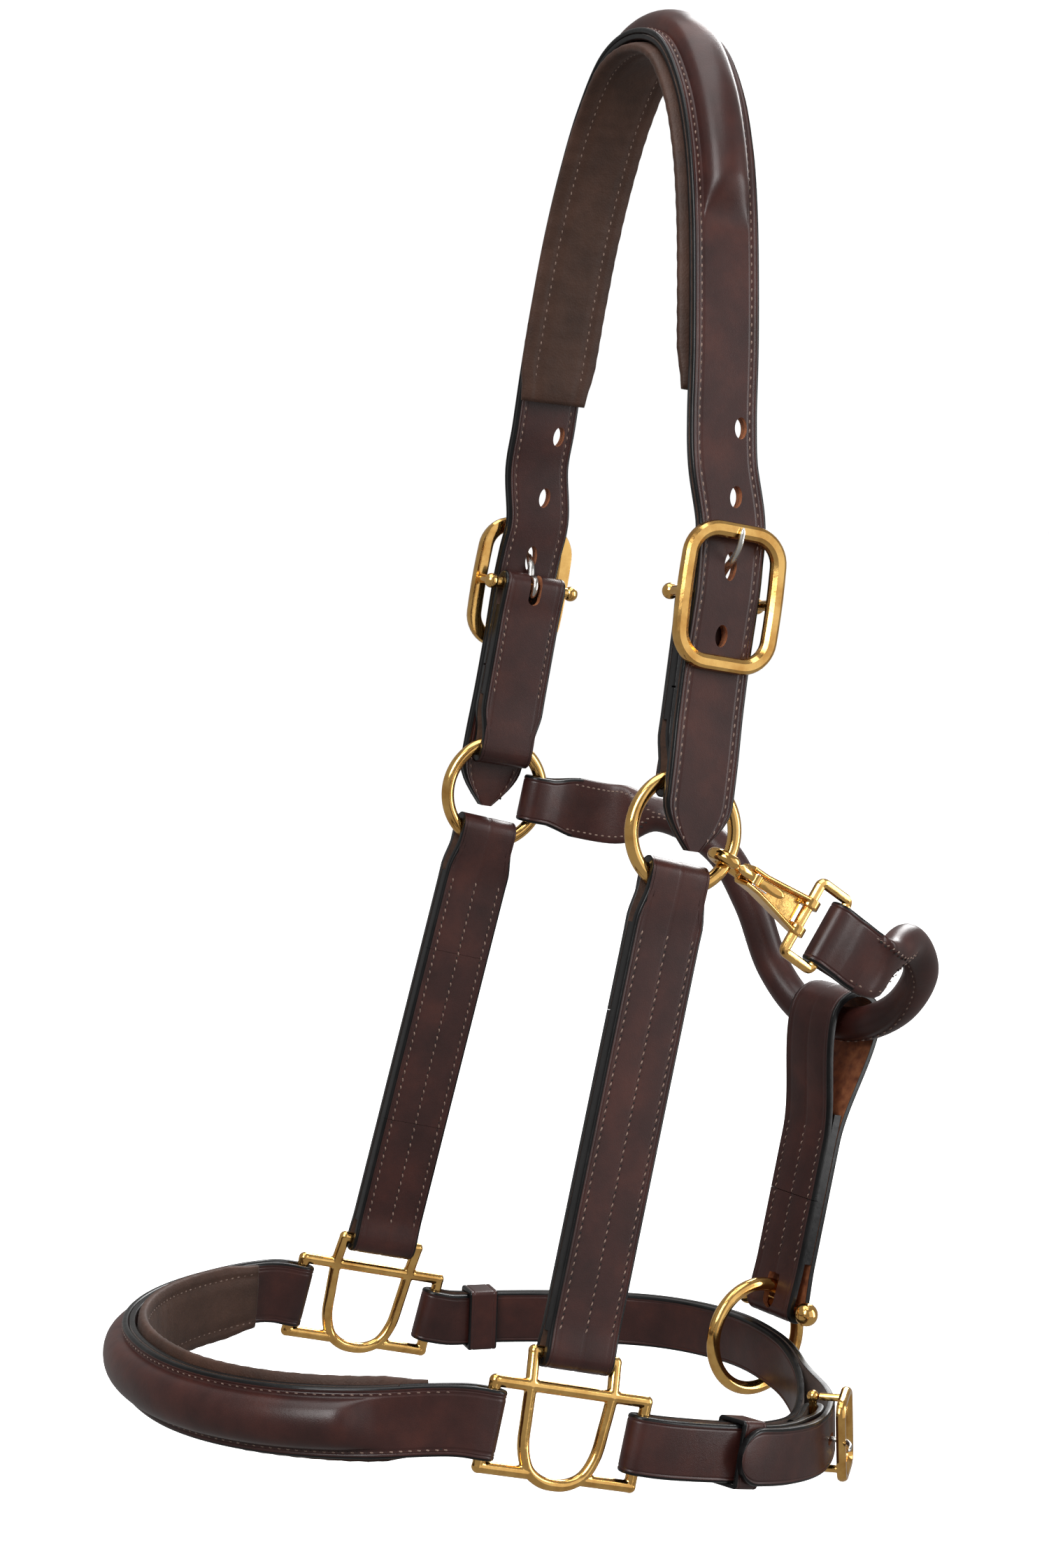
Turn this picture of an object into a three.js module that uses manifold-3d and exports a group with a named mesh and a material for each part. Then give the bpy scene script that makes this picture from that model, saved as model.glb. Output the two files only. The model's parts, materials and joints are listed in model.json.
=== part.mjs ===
// A leather headcollar with brass fittings, in millimetres.
// +Z is up, -Y points along the horse's nose and +X is the horse's near (left) side.
// The origin is the underside of the crown lining at the poll, where the headcollar hangs on the horse.

import * as THREE from 'three';
import { mergeVertices } from 'three/addons/utils/BufferGeometryUtils.js';
import Module from 'manifold-3d';

const wasm = await Module();
wasm.setup();

// ---------------------------------------------------------------- driving dimensions

const CLEARANCE = 0.3; // between pieces that touch
const LEATHER = 2.4; // strap leather
const LAYER_GAP = 0.3; // between two stitched layers
const LINING_GAP = 0.7; // between a strap and the soft lining under it
const NEAR = 1; // the horse's left
const FAR = -1;

const RING_CENTRE = new THREE.Vector3(76.3, -29, -256);
const RING_RADIUS = 18.6; // to the middle of the wire
const RING_WIRE = 2.4;
const RING_INSIDE = RING_RADIUS - RING_WIRE;
const RING_TILT = 3; // degrees, so that each ring lies in the plane of the straps it joins

const CHEEK_FORWARD_LEAN = 14.2; // degrees from the vertical
const CHEEK_OUTWARD_LEAN = 2.8;
const CHEEK_WIDTH = 24.8;
const CHEEK_WIDTH_AT_RING = 21;
const CHEEK_FLAP = 46; // how far each folded end runs back along the inner side

const CHAPE_BACKWARD_LEAN = 9.7;
const CHAPE_INWARD_LEAN = 3.2;
const CHAPE_WIDTH = 24;
const CHAPE_WIDTH_AT_RING = 20;
const BUCKLE_BAR_HEIGHT = 76; // above the ring's centre, along the chape
const BUCKLE_BAR_RADIUS = 2;
const BUCKLE_WIDTH = 37;
const BUCKLE_HEIGHT = 48;
const BUCKLE_BAND = 5.2;
const BUCKLE_DEPTH = 4.2;
const BUCKLE_STANDOFF = 10.9; // from the bar's axis to the middle of the frame
const HOLE_SPACING = 22.6;
const HOLE_ABOVE_BAR = 10.2; // the hole that the tongue is in
const HOLE_WIDTH = 5;
const HOLE_LENGTH = 6.6;
const WORN_HOLE_LENGTH = 9.4;

const CROWN_WIDTH = 24;
const CROWN_LINING_WIDTH = 29;
const CROWN_LINING_THICKNESS = 4.6;
const CROWN_LAYER = 1.9; // the cover and the backing are shaved thinner than strap leather
const RAISE_HEIGHT = 6.6; // how far the padded ridge stands above the flat strap
const RAISE_WIDTH = 14;

const SQUARE_BAR = 2; // radius of the square's bars
const SQUARE_OFFSET = 2.5; // the square's face stands outside the cheek strap's middle
const SQUARE_TOP_BAR = 171.2; // all below the ring's centre, along the cheek
const SQUARE_MAIN_BAR = 181.8;
const SQUARE_ARM = 209.3;
const SQUARE_BOTTOM = 212;
const SQUARE_HALF_SLOT = 14.7; // the prongs and the window's sides
const SQUARE_HALF_WIDTH = 27.3;

const NOSE_WIDTH = 22.6;
const NOSE_LAYER = 2.2;
const NOSE_LINING_WIDTH = 27;
const NOSE_LINING_THICKNESS = 4.4;
const NOSE_FLAP = 28;
const NOSE_TIP = new THREE.Vector3(0, -188, -436.5);

const CHIN_WIDTH = 19;
const CHIN_LAYER = 2.4;

const ROLL_RADIUS = 6.2;
const ROLL_CORE_RADIUS = 2.5;
const ROLL_BOTTOM = new THREE.Vector3(0, 71, -335.6);
const TAB_WIDTH = 22;
const TAB_WIDTH_AT_RING = 17;

const SNAP_ANGLE = -33; // degrees below level, where the hook holds the near ring
const SNAP_LENGTH = 38.4; // from the ring's wire to the loop's bar
const SNAP_LOOP_WIDTH = 30;
const SNAP_LOOP_LENGTH = 13.5;
const SNAP_WIRE = 1.7;

const THROAT_STRAP_WIDTH = 24.4;
const THROAT_STRAP_TURN = 10; // degrees about the vertical
const BOLT_CENTRE = new THREE.Vector3(0, 48.5, -437.1);
const BOLT_RADIUS = 2;
const BOLT_BALL = 4.2;
const CHIN_RING_RADIUS = 19;
const CHIN_RING_SWING = 30; // degrees that the ring lies forward of straight down the throat strap

// ---------------------------------------------------------------- materials

const COLOURS = {
  havana: 0x3b1a16,
  lining: 0x4a3025,
  core: 0x8a6a4a,
  brass: 0xc29a4b,
  steel: 0xb9b9bc,
};

function material(kind) {
  const metal = kind === 'brass' || kind === 'steel';
  return new THREE.MeshStandardMaterial({
    color: COLOURS[kind],
    roughness: metal ? 0.25 : 0.55,
    metalness: metal ? 1 : 0,
  });
}

const headcollar = new THREE.Group();

function addPiece(name, geometry, kind, parent = headcollar) {
  const mesh = new THREE.Mesh(geometry, material(kind));
  mesh.name = name;
  parent.add(mesh);
  return mesh;
}

// ---------------------------------------------------------------- solids

const radians = THREE.MathUtils.degToRad;

function smooth(x, low, high) {
  return THREE.MathUtils.smoothstep(x, low, high);
}

// Positions and faces only, with shared corners merged.
function bare(geometry) {
  const copy = geometry.clone();
  copy.deleteAttribute('normal');
  copy.deleteAttribute('uv');
  return mergeVertices(copy, 1e-4);
}

function toSolid(geometry) {
  const merged = bare(geometry);
  const vertProperties = new Float32Array(merged.attributes.position.array);
  const triVerts = new Uint32Array(merged.index.array);
  return new wasm.Manifold(new wasm.Mesh({ numProp: 3, vertProperties, triVerts }));
}

function toGeometry(solid) {
  const mesh = solid.getMesh();
  const geometry = new THREE.BufferGeometry();
  geometry.setAttribute('position', new THREE.BufferAttribute(mesh.vertProperties, 3));
  geometry.setIndex(new THREE.BufferAttribute(mesh.triVerts, 1));
  return geometry;
}

function join(geometries) {
  return toGeometry(geometries.map(toSolid).reduce((whole, piece) => whole.add(piece)));
}

function cut(geometry, tools) {
  return toGeometry(tools.map(toSolid).reduce((whole, tool) => whole.subtract(tool), toSolid(geometry)));
}

function signedVolume(positions, index) {
  const corners = [new THREE.Vector3(), new THREE.Vector3(), new THREE.Vector3()];
  let volume = 0;
  for (let i = 0; i < index.length; i += 3) {
    corners.forEach((corner, k) => corner.fromArray(positions, index[i + k] * 3));
    volume += corners[0].dot(corners[1].cross(corners[2])) / 6;
  }
  return volume;
}

// A solid swept through stations. Each station has a point, an across and an out axis, and its own section:
// a list of [across, out] corners, the same number at each station.
function sweep(stations, closed = false) {
  const sides = stations[0].section.length;
  const positions = [];
  for (const { point, across, out, section } of stations) {
    for (const [a, b] of section) {
      positions.push(...point.clone().addScaledVector(across, a).addScaledVector(out, b).toArray());
    }
  }
  const index = [];
  const last = closed ? stations.length : stations.length - 1;
  for (let i = 0; i < last; i += 1) {
    const next = (i + 1) % stations.length;
    for (let k = 0; k < sides; k += 1) {
      const k2 = (k + 1) % sides;
      const [a, b, c, d] = [i * sides + k, i * sides + k2, next * sides + k2, next * sides + k];
      index.push(a, b, c, a, c, d);
    }
  }
  if (!closed) {
    const end = (stations.length - 1) * sides;
    const outline = (station) => station.section.map(([a, b]) => new THREE.Vector2(a, b));
    for (const [a, b, c] of THREE.ShapeUtils.triangulateShape(outline(stations[0]), [])) {
      index.push(c, b, a);
    }
    for (const [a, b, c] of THREE.ShapeUtils.triangulateShape(outline(stations.at(-1)), [])) {
      index.push(end + a, end + b, end + c);
    }
  }
  if (signedVolume(positions, index) < 0) {
    index.reverse();
  }
  const geometry = new THREE.BufferGeometry();
  geometry.setAttribute('position', new THREE.Float32BufferAttribute(positions, 3));
  geometry.setIndex(index);
  return geometry;
}

function rectangle(width, thickness, lift = 0) {
  const [a, b] = [width / 2, thickness / 2];
  return [[-a, lift - b], [a, lift - b], [a, lift + b], [-a, lift + b]];
}

function circle(radius, sides, radius2 = radius) {
  return Array.from({ length: sides }, (_, k) => {
    const angle = (2 * Math.PI * (k + 0.5)) / sides;
    return [radius * Math.cos(angle), radius2 * Math.sin(angle)];
  });
}

// A strap bent in its own plane: the path holds (y, z) points and the width lies along x.
function bentStrap(path, widthAt, thickness) {
  const across = new THREE.Vector3(1, 0, 0);
  const stations = path.map((point, i) => {
    const before = path[Math.max(i - 1, 0)];
    const after = path[Math.min(i + 1, path.length - 1)];
    const along = after.clone().sub(before).normalize();
    const out = new THREE.Vector3(0, -along.y, along.x);
    return {
      point: new THREE.Vector3(0, point.x, point.y), across, out,
      section: rectangle(widthAt(point.x), thickness),
    };
  });
  return sweep(stations);
}

function wire(points, radius, sides = 8, closed = false, steps = 24) {
  const curve = new THREE.CatmullRomCurve3(points, closed, 'centripetal');
  const frames = curve.computeFrenetFrames(steps, closed);
  const count = closed ? steps : steps + 1;
  const stations = Array.from({ length: count }, (_, i) => ({
    point: curve.getPointAt(i / steps),
    across: frames.normals[i],
    out: frames.binormals[i],
    section: circle(radius, sides),
  }));
  return sweep(stations, closed);
}

function rod(from, to, radius, sides = 6) {
  const length = from.distanceTo(to);
  const geometry = new THREE.CylinderGeometry(radius, radius, length, sides);
  const up = new THREE.Vector3(0, 1, 0);
  const turn = new THREE.Quaternion().setFromUnitVectors(up, to.clone().sub(from).normalize());
  geometry.applyQuaternion(turn);
  const middle = from.clone().add(to).multiplyScalar(0.5);
  return geometry.translate(middle.x, middle.y, middle.z);
}

function ball(centre, radius, sides = 7) {
  return new THREE.SphereGeometry(radius, sides, Math.ceil(sides * 0.6)).translate(centre.x, centre.y, centre.z);
}

function block(width, height, depth, x, y, z) {
  return new THREE.BoxGeometry(width, height, depth).translate(x, y, z);
}

// An oval cutter standing along z, for a punched hole.
function ovalCutter(width, length, depth, y, z) {
  const cutter = new THREE.CylinderGeometry(width / 2, width / 2, depth, 8);
  cutter.rotateX(Math.PI / 2).scale(1, length / width, 1);
  return cutter.translate(0, y, z);
}

// ---------------------------------------------------------------- ribbons

// A ribbon is a curve with the direction of its width at each distance along it.
function makeRibbon(curve, acrossAt) {
  curve.arcLengthDivisions = 600;
  return { curve, length: curve.getLength(), acrossAt };
}

// Stations along a ribbon, each moved outwards by its lift.
function ribbonStations(ribbon, from, to, count, liftAt, sectionAt) {
  return Array.from({ length: count + 1 }, (_, i) => {
    const distance = THREE.MathUtils.lerp(from, to, i / count);
    const t = THREE.MathUtils.clamp(distance / ribbon.length, 0, 1);
    const along = ribbon.curve.getTangentAt(t);
    const across = ribbon.acrossAt(distance, ribbon.length).clone();
    across.addScaledVector(along, -across.dot(along)).normalize();
    const out = new THREE.Vector3().crossVectors(across, along);
    const point = ribbon.curve.getPointAt(t).addScaledVector(out, liftAt(distance));
    return { point, across, out, along, section: sectionAt(distance) };
  });
}

// The half turn round a bar, from the outer side to the inner. sign is +1 past the ribbon's end, -1 before it.
function barTurn(station, radius, sign, section) {
  const steps = 6;
  const { along, across, out } = station;
  const centre = station.point.clone().addScaledVector(out, -radius);
  return Array.from({ length: steps - 1 }, (_, i) => {
    const angle = (Math.PI * (i + 1)) / steps;
    const outward = out.clone().multiplyScalar(Math.cos(angle)).addScaledVector(along, sign * Math.sin(angle));
    return { point: centre.clone().addScaledVector(outward, radius), across, out: outward, section };
  });
}

// The same station facing the other way, for a layer that comes back.
function flip(station) {
  return { ...station, out: station.out.clone().negate() };
}

// ---------------------------------------------------------------- frames on each side of the head

// A group whose y runs along the strap, z points away from the horse and x across the strap.
function sideFrame(origin, up, out) {
  const x = new THREE.Vector3().crossVectors(up, out).normalize();
  const z = new THREE.Vector3().crossVectors(x, up).normalize();
  const group = new THREE.Group();
  group.applyMatrix4(new THREE.Matrix4().makeBasis(x, up, z).setPosition(origin));
  headcollar.add(group);
  group.updateMatrixWorld();
  return group;
}

function mirrored(vector, side) {
  return new THREE.Vector3(vector.x * side, vector.y, vector.z);
}

function leaning(sideways, backward) {
  const [a, b] = [radians(sideways), radians(backward)];
  return new THREE.Vector3(Math.sin(a), Math.sin(b) * Math.cos(a), Math.cos(b) * Math.cos(a));
}

const CHEEK_UP = leaning(-CHEEK_OUTWARD_LEAN, CHEEK_FORWARD_LEAN);
const CHAPE_UP = leaning(-CHAPE_INWARD_LEAN, CHAPE_BACKWARD_LEAN);

function ringCentre(side) {
  return mirrored(RING_CENTRE, side);
}

function cheekFrame(side) {
  return sideFrame(ringCentre(side), mirrored(CHEEK_UP, side), new THREE.Vector3(side, 0, 0));
}

function chapeFrame(side) {
  return sideFrame(ringCentre(side), mirrored(CHAPE_UP, side), new THREE.Vector3(side, 0, 0));
}

const frames = {
  [NEAR]: { cheek: cheekFrame(NEAR), chape: chapeFrame(NEAR) },
  [FAR]: { cheek: cheekFrame(FAR), chape: chapeFrame(FAR) },
};

function world(group, x, y, z) {
  return group.localToWorld(new THREE.Vector3(x, y, z));
}

// How far from the ring's centre a straight fold of this width clears the ring's round inside.
function foldReach(width) {
  return Math.sqrt(RING_INSIDE ** 2 - (width / 2) ** 2) - CLEARANCE;
}

// ---------------------------------------------------------------- straps folded round bars

// Half the distance between the middles of two layers that close up away from a bar.
function layerOffset(distance, atBar, apart, easing) {
  return apart + (atBar - apart) * (1 - smooth(distance, 0, easing));
}

// The path of a strap round a bar at its top and a bar at its bottom, as (y, z) points.
// Both ends stop on one side, at y = firstEnd and y = lastEnd, and leave a gap between them.
function doubleFold({ top, bottom, side, firstEnd, lastEnd, apart }) {
  const points = [];
  const offset = (y) => {
    const nearTop = layerOffset(top.y - y, top.radius, apart, top.easing);
    const nearBottom = layerOffset(y - bottom.y, bottom.radius, apart, bottom.easing);
    return Math.max(nearTop, nearBottom);
  };
  const straight = (from, to, sign) => {
    const steps = Math.max(2, Math.ceil(Math.abs(to - from) / 6));
    for (let i = 0; i <= steps; i += 1) {
      const y = THREE.MathUtils.lerp(from, to, i / steps);
      points.push(new THREE.Vector2(y, sign * offset(y)));
    }
  };
  const turn = (bar, up) => {
    const steps = 8;
    for (let i = 1; i < steps; i += 1) {
      const angle = (Math.PI * i) / steps;
      const reach = bar.radius * Math.sin(angle) * (up ? 1 : -1);
      const sign = up ? side : -side;
      points.push(new THREE.Vector2(bar.y + reach, sign * bar.radius * Math.cos(angle)));
    }
  };
  straight(firstEnd, top.y, side);
  turn(top, true);
  straight(top.y, bottom.y, -side);
  turn(bottom, false);
  straight(bottom.y, lastEnd, side);
  return points;
}

function taper(y, ringEnd, atRing, full) {
  return atRing + (full - atRing) * smooth(Math.abs(y) - ringEnd, 4, 16);
}

// ---------------------------------------------------------------- rings

function ringGeometry(radius) {
  return new THREE.TorusGeometry(radius, RING_WIRE, 7, 24).rotateY(Math.PI / 2);
}

function addRing(side, name) {
  const ring = addPiece(name, ringGeometry(RING_RADIUS), 'brass');
  ring.position.copy(ringCentre(side));
  ring.rotation.y = -side * radians(RING_TILT);
}

// ---------------------------------------------------------------- cheeks

const RING_FOLD = RING_WIRE + CLEARANCE + LEATHER / 2;
const CHEEK_APART = LEATHER + LAYER_GAP;

function cheekPath() {
  const top = { y: -(foldReach(CHEEK_WIDTH_AT_RING) + RING_WIRE + CLEARANCE), radius: RING_FOLD, easing: 22 };
  const bottom = { y: -SQUARE_TOP_BAR, radius: SQUARE_BAR + CLEARANCE + LEATHER / 2, easing: 10 };
  const firstEnd = top.y - CHEEK_FLAP;
  const lastEnd = bottom.y + CHEEK_FLAP;
  return { top, bottom, side: -1, firstEnd, lastEnd, apart: CHEEK_APART };
}

function addCheek(side, name) {
  const frame = frames[side].cheek;
  const path = cheekPath();
  const ringEnd = Math.abs(path.top.y);
  const width = (y) => taper(y, ringEnd, CHEEK_WIDTH_AT_RING, CHEEK_WIDTH);
  addPiece(`cheek_strap_${name}`, bentStrap(doubleFold(path), width, LEATHER), 'havana', frame);

  const splice = 0.4;
  const backingTop = path.firstEnd - splice;
  const backingBottom = path.lastEnd + splice;
  const backing = block(CHEEK_WIDTH, backingTop - backingBottom, LEATHER,
    0, (backingTop + backingBottom) / 2, -CHEEK_APART);
  addPiece(`cheek_backing_${name}`, backing, 'havana', frame);

  const fillerTop = -(RING_RADIUS + RING_WIRE + 14);
  const fillerBottom = -(SQUARE_TOP_BAR - 7);
  const filler = block(CHEEK_WIDTH - 1, fillerTop - fillerBottom, LEATHER - LAYER_GAP,
    0, (fillerTop + fillerBottom) / 2, 0);
  addPiece(`cheek_filler_${name}`, filler, 'core', frame);
}

// ---------------------------------------------------------------- squares

// The window's side runs down, narrows and turns under in a U.
function windowOutline() {
  const half = SQUARE_HALF_SLOT;
  return [
    [half, -SQUARE_MAIN_BAR], [half - 0.7, -SQUARE_MAIN_BAR - 10], [half - 1.8, -SQUARE_MAIN_BAR - 20],
    [half - 5, -SQUARE_BOTTOM + 3.6], [half - 10, -SQUARE_BOTTOM + 0.6], [0, -SQUARE_BOTTOM],
  ];
}

function squareGeometry() {
  const face = SQUARE_OFFSET;
  const at = (x, y, z = face) => new THREE.Vector3(x, y, z);
  const right = windowOutline().map(([x, y]) => at(x, y));
  const left = windowOutline().slice(0, -1).reverse().map(([x, y]) => at(-x, y));
  const pieces = [
    rod(at(-SQUARE_HALF_WIDTH, -SQUARE_MAIN_BAR), at(SQUARE_HALF_WIDTH, -SQUARE_MAIN_BAR), SQUARE_BAR),
    rod(at(-SQUARE_HALF_SLOT, -SQUARE_TOP_BAR, 0), at(SQUARE_HALF_SLOT, -SQUARE_TOP_BAR, 0), SQUARE_BAR),
    wire([...right, ...left], SQUARE_BAR, 6, false, 14),
  ];
  for (const side of [-1, 1]) {
    const x = side * SQUARE_HALF_SLOT;
    const edge = side * SQUARE_HALF_WIDTH;
    pieces.push(rod(at(x, -SQUARE_MAIN_BAR), at(x, -SQUARE_TOP_BAR, 0), SQUARE_BAR));
    pieces.push(rod(at(edge, -SQUARE_MAIN_BAR), at(edge, -SQUARE_ARM), SQUARE_BAR));
    pieces.push(rod(at(edge, -SQUARE_ARM), at(side * (SQUARE_HALF_SLOT - 5), -SQUARE_ARM), SQUARE_BAR));
    pieces.push(ball(at(edge, -SQUARE_MAIN_BAR), SQUARE_BAR + 0.1, 6));
    pieces.push(ball(at(edge, -SQUARE_ARM), SQUARE_BAR + 0.1, 6));
    pieces.push(ball(at(x, -SQUARE_TOP_BAR, 0), SQUARE_BAR + 0.1, 6));
  }
  return join(pieces);
}

// ---------------------------------------------------------------- chapes and buckles

function chapePath() {
  const top = { y: BUCKLE_BAR_HEIGHT, radius: BUCKLE_BAR_RADIUS + CLEARANCE + LEATHER / 2, easing: 12 };
  const bottomY = foldReach(CHAPE_WIDTH_AT_RING) + RING_WIRE + CLEARANCE;
  const bottom = { y: bottomY, radius: RING_FOLD, easing: 22 };
  const meet = (top.y + bottom.y) / 2;
  return { top, bottom, side: 1, firstEnd: meet + 0.3, lastEnd: meet - 0.3, apart: CHEEK_APART };
}

const TONGUE_SLOT_WIDTH = 4.6;
const TONGUE_EYE = 3.5; // radius of the tongue's eye, to the middle of its wire
const TONGUE_WIRE = 1.2;

function addChape(side, name) {
  const frame = frames[side].chape;
  const path = chapePath();
  const width = (y) => taper(y, path.bottom.y, CHAPE_WIDTH_AT_RING, CHAPE_WIDTH);
  const strap = bentStrap(doubleFold(path), width, LEATHER);
  const slot = block(TONGUE_SLOT_WIDTH, 12, 14, 0, BUCKLE_BAR_HEIGHT, 0);
  addPiece(`chape_${name}`, cut(strap, [slot]), 'havana', frame);

  const low = RING_RADIUS + RING_WIRE + 14;
  const high = BUCKLE_BAR_HEIGHT - 8;
  const filler = block(CHAPE_WIDTH - 1, high - low, LEATHER - LAYER_GAP, 0, (high + low) / 2, 0);
  addPiece(`chape_filler_${name}`, filler, 'core', frame);
}

// The outline of a rounded rectangle, as evenly turned points.
function roundedRectangle(width, height, radius) {
  const shape = new THREE.Path();
  const [w, h] = [width / 2, height / 2];
  shape.absarc(w - radius, h - radius, radius, 0, Math.PI / 2);
  shape.absarc(-w + radius, h - radius, radius, Math.PI / 2, Math.PI);
  shape.absarc(-w + radius, -h + radius, radius, Math.PI, Math.PI * 1.5);
  shape.absarc(w - radius, -h + radius, radius, Math.PI * 1.5, Math.PI * 2);
  return shape.getPoints(2).filter((point, i, all) => i === 0 || point.distanceTo(all[i - 1]) > 0.01)
    .filter((point, i, all) => i === 0 || i < all.length - 1 || point.distanceTo(all[0]) > 0.01);
}

function bandFrame(width, height, corner, band, depth) {
  const outline = roundedRectangle(width - band, height - band, corner);
  const stations = outline.map((point, i) => {
    const before = outline[(i + outline.length - 1) % outline.length];
    const after = outline[(i + 1) % outline.length];
    const along = after.clone().sub(before).normalize();
    return {
      point: new THREE.Vector3(point.x, point.y, 0),
      across: new THREE.Vector3(along.y, -along.x, 0),
      out: new THREE.Vector3(0, 0, 1),
      section: circle(band / 2, 7, depth / 2),
    };
  });
  return sweep(stations, true);
}

function addBuckle(side, name) {
  const frame = frames[side].chape;
  const half = (BUCKLE_WIDTH - BUCKLE_BAND) / 2;
  const lugRadius = 1.7;
  const ballRadius = 2.7;
  const at = (x, z) => new THREE.Vector3(x, BUCKLE_BAR_HEIGHT, z);
  const band = bandFrame(BUCKLE_WIDTH, BUCKLE_HEIGHT, 12, BUCKLE_BAND, BUCKLE_DEPTH);
  band.translate(0, BUCKLE_BAR_HEIGHT, BUCKLE_STANDOFF);
  const lugs = [-half, half].map((x) => rod(at(x, ballRadius + CLEARANCE), at(x, BUCKLE_STANDOFF), lugRadius));
  addPiece(`buckle_frame_${name}`, join([band, ...lugs]), 'brass', frame);

  const bar = join([
    rod(at(-half, 0), at(half, 0), BUCKLE_BAR_RADIUS),
    ball(at(-half, 0), ballRadius),
    ball(at(half, 0), ballRadius),
  ]);
  addPiece(`buckle_bar_${name}`, bar, 'brass', frame);

  const shank = [[3.2, 1.8], [7.2, 3.4], [10, 6.1], [12.6, 9.8], [16.8, 13.1], [22.4, 14.3]];
  const tongue = join([
    new THREE.TorusGeometry(TONGUE_EYE, TONGUE_WIRE, 6, 12).rotateY(Math.PI / 2)
      .translate(0, BUCKLE_BAR_HEIGHT, 0),
    wire(shank.map(([y, z]) => new THREE.Vector3(0, BUCKLE_BAR_HEIGHT + y, z)), TONGUE_WIRE, 6, false, 10),
  ]);
  addPiece(`buckle_tongue_${name}`, tongue, 'steel', frame);
}

// ---------------------------------------------------------------- crown

// The crown's middle surface, between its cover and its backing, from the near tip to the poll.
function crownPoints() {
  const billet = [[-6, 7.2], [8, 7.5], [22, 7.3], [38, 6.4], [56, 6.3], [70, 6.9], [78, 7.2], [88, 6.5], [100, 5]];
  const lower = billet.map(([y, z]) => world(frames[NEAR].chape, 0, y, z));
  const arch = [
    [72.9, -13.6, -138], [69.8, -12.4, -124], [66.6, -10.2, -102], [62.4, -8, -80], [56.6, -5.5, -56],
    [49, -3.2, -34.5], [38.2, -1.4, -14.5], [21.5, -0.3, 2.4], [0, 0, 7.6],
  ].map((p) => new THREE.Vector3(...p));
  return [...lower, ...arch];
}

function mirroredCurve(points) {
  const others = points.slice(0, -1).reverse().map((p) => mirrored(p, FAR));
  return new THREE.CatmullRomCurve3([...points, ...others], false, 'centripetal');
}

const crown = makeRibbon(mirroredCurve(crownPoints()), () => new THREE.Vector3(0, 1, 0));
const CROWN_RAISE_END = 205; // from each tip to the end of the padded ridge
const CROWN_LINING_END = 150;

const TIP_LENGTH = 16;
const TIP_WIDTH = 4;

// How far a pointed end has opened out to its full width, from 0 to 1.
function tipOpening(distance) {
  return Math.sin((Math.PI / 2) * Math.min(distance / TIP_LENGTH, 1));
}

// A strap section that arches over a half-round ridge. The hollow underneath stays open to below.
function archedSection(width, layer, height, ridge, bottom) {
  const steps = 4;
  const outer = [];
  const inner = [];
  for (let i = 0; i <= steps; i += 1) {
    const angle = (Math.PI * i) / steps;
    const rise = Math.sin(angle) ** 0.8 * height;
    outer.push([(ridge / 2 + layer * 0.45) * Math.cos(angle), bottom + layer + rise]);
    inner.push([-(ridge / 2 - layer * 0.3) * Math.cos(angle), bottom + rise * 0.99]);
  }
  const half = width / 2;
  return [[half, bottom], [half, bottom + layer], ...outer, [-half, bottom + layer], [-half, bottom], ...inner];
}

// The cord under the ridge, a little smaller than the hollow that it fills.
function ridgeSection(height, ridge, layer, bottom) {
  const steps = 4;
  const slack = 2;
  return Array.from({ length: steps + 1 }, (_, i) => {
    const angle = (Math.PI * i) / steps;
    const rise = Math.sin(angle) ** 0.8 * height * 0.8 + 0.15;
    return [(ridge / 2 - layer * 0.3 - slack) * Math.cos(angle), bottom + rise];
  });
}

function raiseAt(distance, start) {
  return RAISE_HEIGHT * smooth(distance, start, start + 14);
}

function punches(frame) {
  const y0 = BUCKLE_BAR_HEIGHT + HOLE_ABOVE_BAR;
  const holes = [
    [y0, WORN_HOLE_LENGTH], [y0 + HOLE_SPACING, HOLE_LENGTH], [y0 + 2 * HOLE_SPACING, HOLE_LENGTH],
    [y0 - HOLE_SPACING, HOLE_LENGTH],
  ];
  return holes.map(([y, length]) => ovalCutter(HOLE_WIDTH, length, 16, y, 6).applyMatrix4(frame.matrixWorld));
}

function addCrown() {
  const { length } = crown;
  const fromTip = (distance) => Math.min(distance, length - distance);
  const holes = [...punches(frames[NEAR].chape), ...punches(frames[FAR].chape)];
  const layer = CROWN_LAYER;
  const gap = LAYER_GAP / 2;
  const flat = () => 0;

  const cover = ribbonStations(crown, 0, length, 44, flat, (distance) => {
    const opening = tipOpening(fromTip(distance));
    const width = THREE.MathUtils.lerp(TIP_WIDTH, CROWN_WIDTH, opening);
    const ridge = THREE.MathUtils.lerp(TIP_WIDTH * 0.4, RAISE_WIDTH, opening);
    return archedSection(width, layer, raiseAt(fromTip(distance), CROWN_RAISE_END), ridge, gap);
  });
  addPiece('crown_cover', cut(sweep(cover), holes), 'havana');

  const backing = ribbonStations(crown, 0, length, 44, flat, (distance) => {
    const width = THREE.MathUtils.lerp(TIP_WIDTH, CROWN_WIDTH, tipOpening(fromTip(distance)));
    return rectangle(width, layer, -gap - layer / 2);
  });
  addPiece('crown_backing', cut(sweep(backing), holes), 'havana');

  const fillerStart = CROWN_RAISE_END + 12;
  const filler = ribbonStations(crown, fillerStart, length - fillerStart, 24, flat,
    (distance) => ridgeSection(raiseAt(fromTip(distance), CROWN_RAISE_END), RAISE_WIDTH, layer, gap));
  addPiece('crown_filler', sweep(filler), 'core');

  const liningMiddle = -(gap + layer + LINING_GAP + CROWN_LINING_THICKNESS / 2);
  const lining = ribbonStations(crown, CROWN_LINING_END, length - CROWN_LINING_END, 32, flat,
    () => padSection(CROWN_LINING_WIDTH, CROWN_LINING_THICKNESS, liningMiddle));
  addPiece('crown_lining', sweep(lining), 'lining');
}

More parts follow.
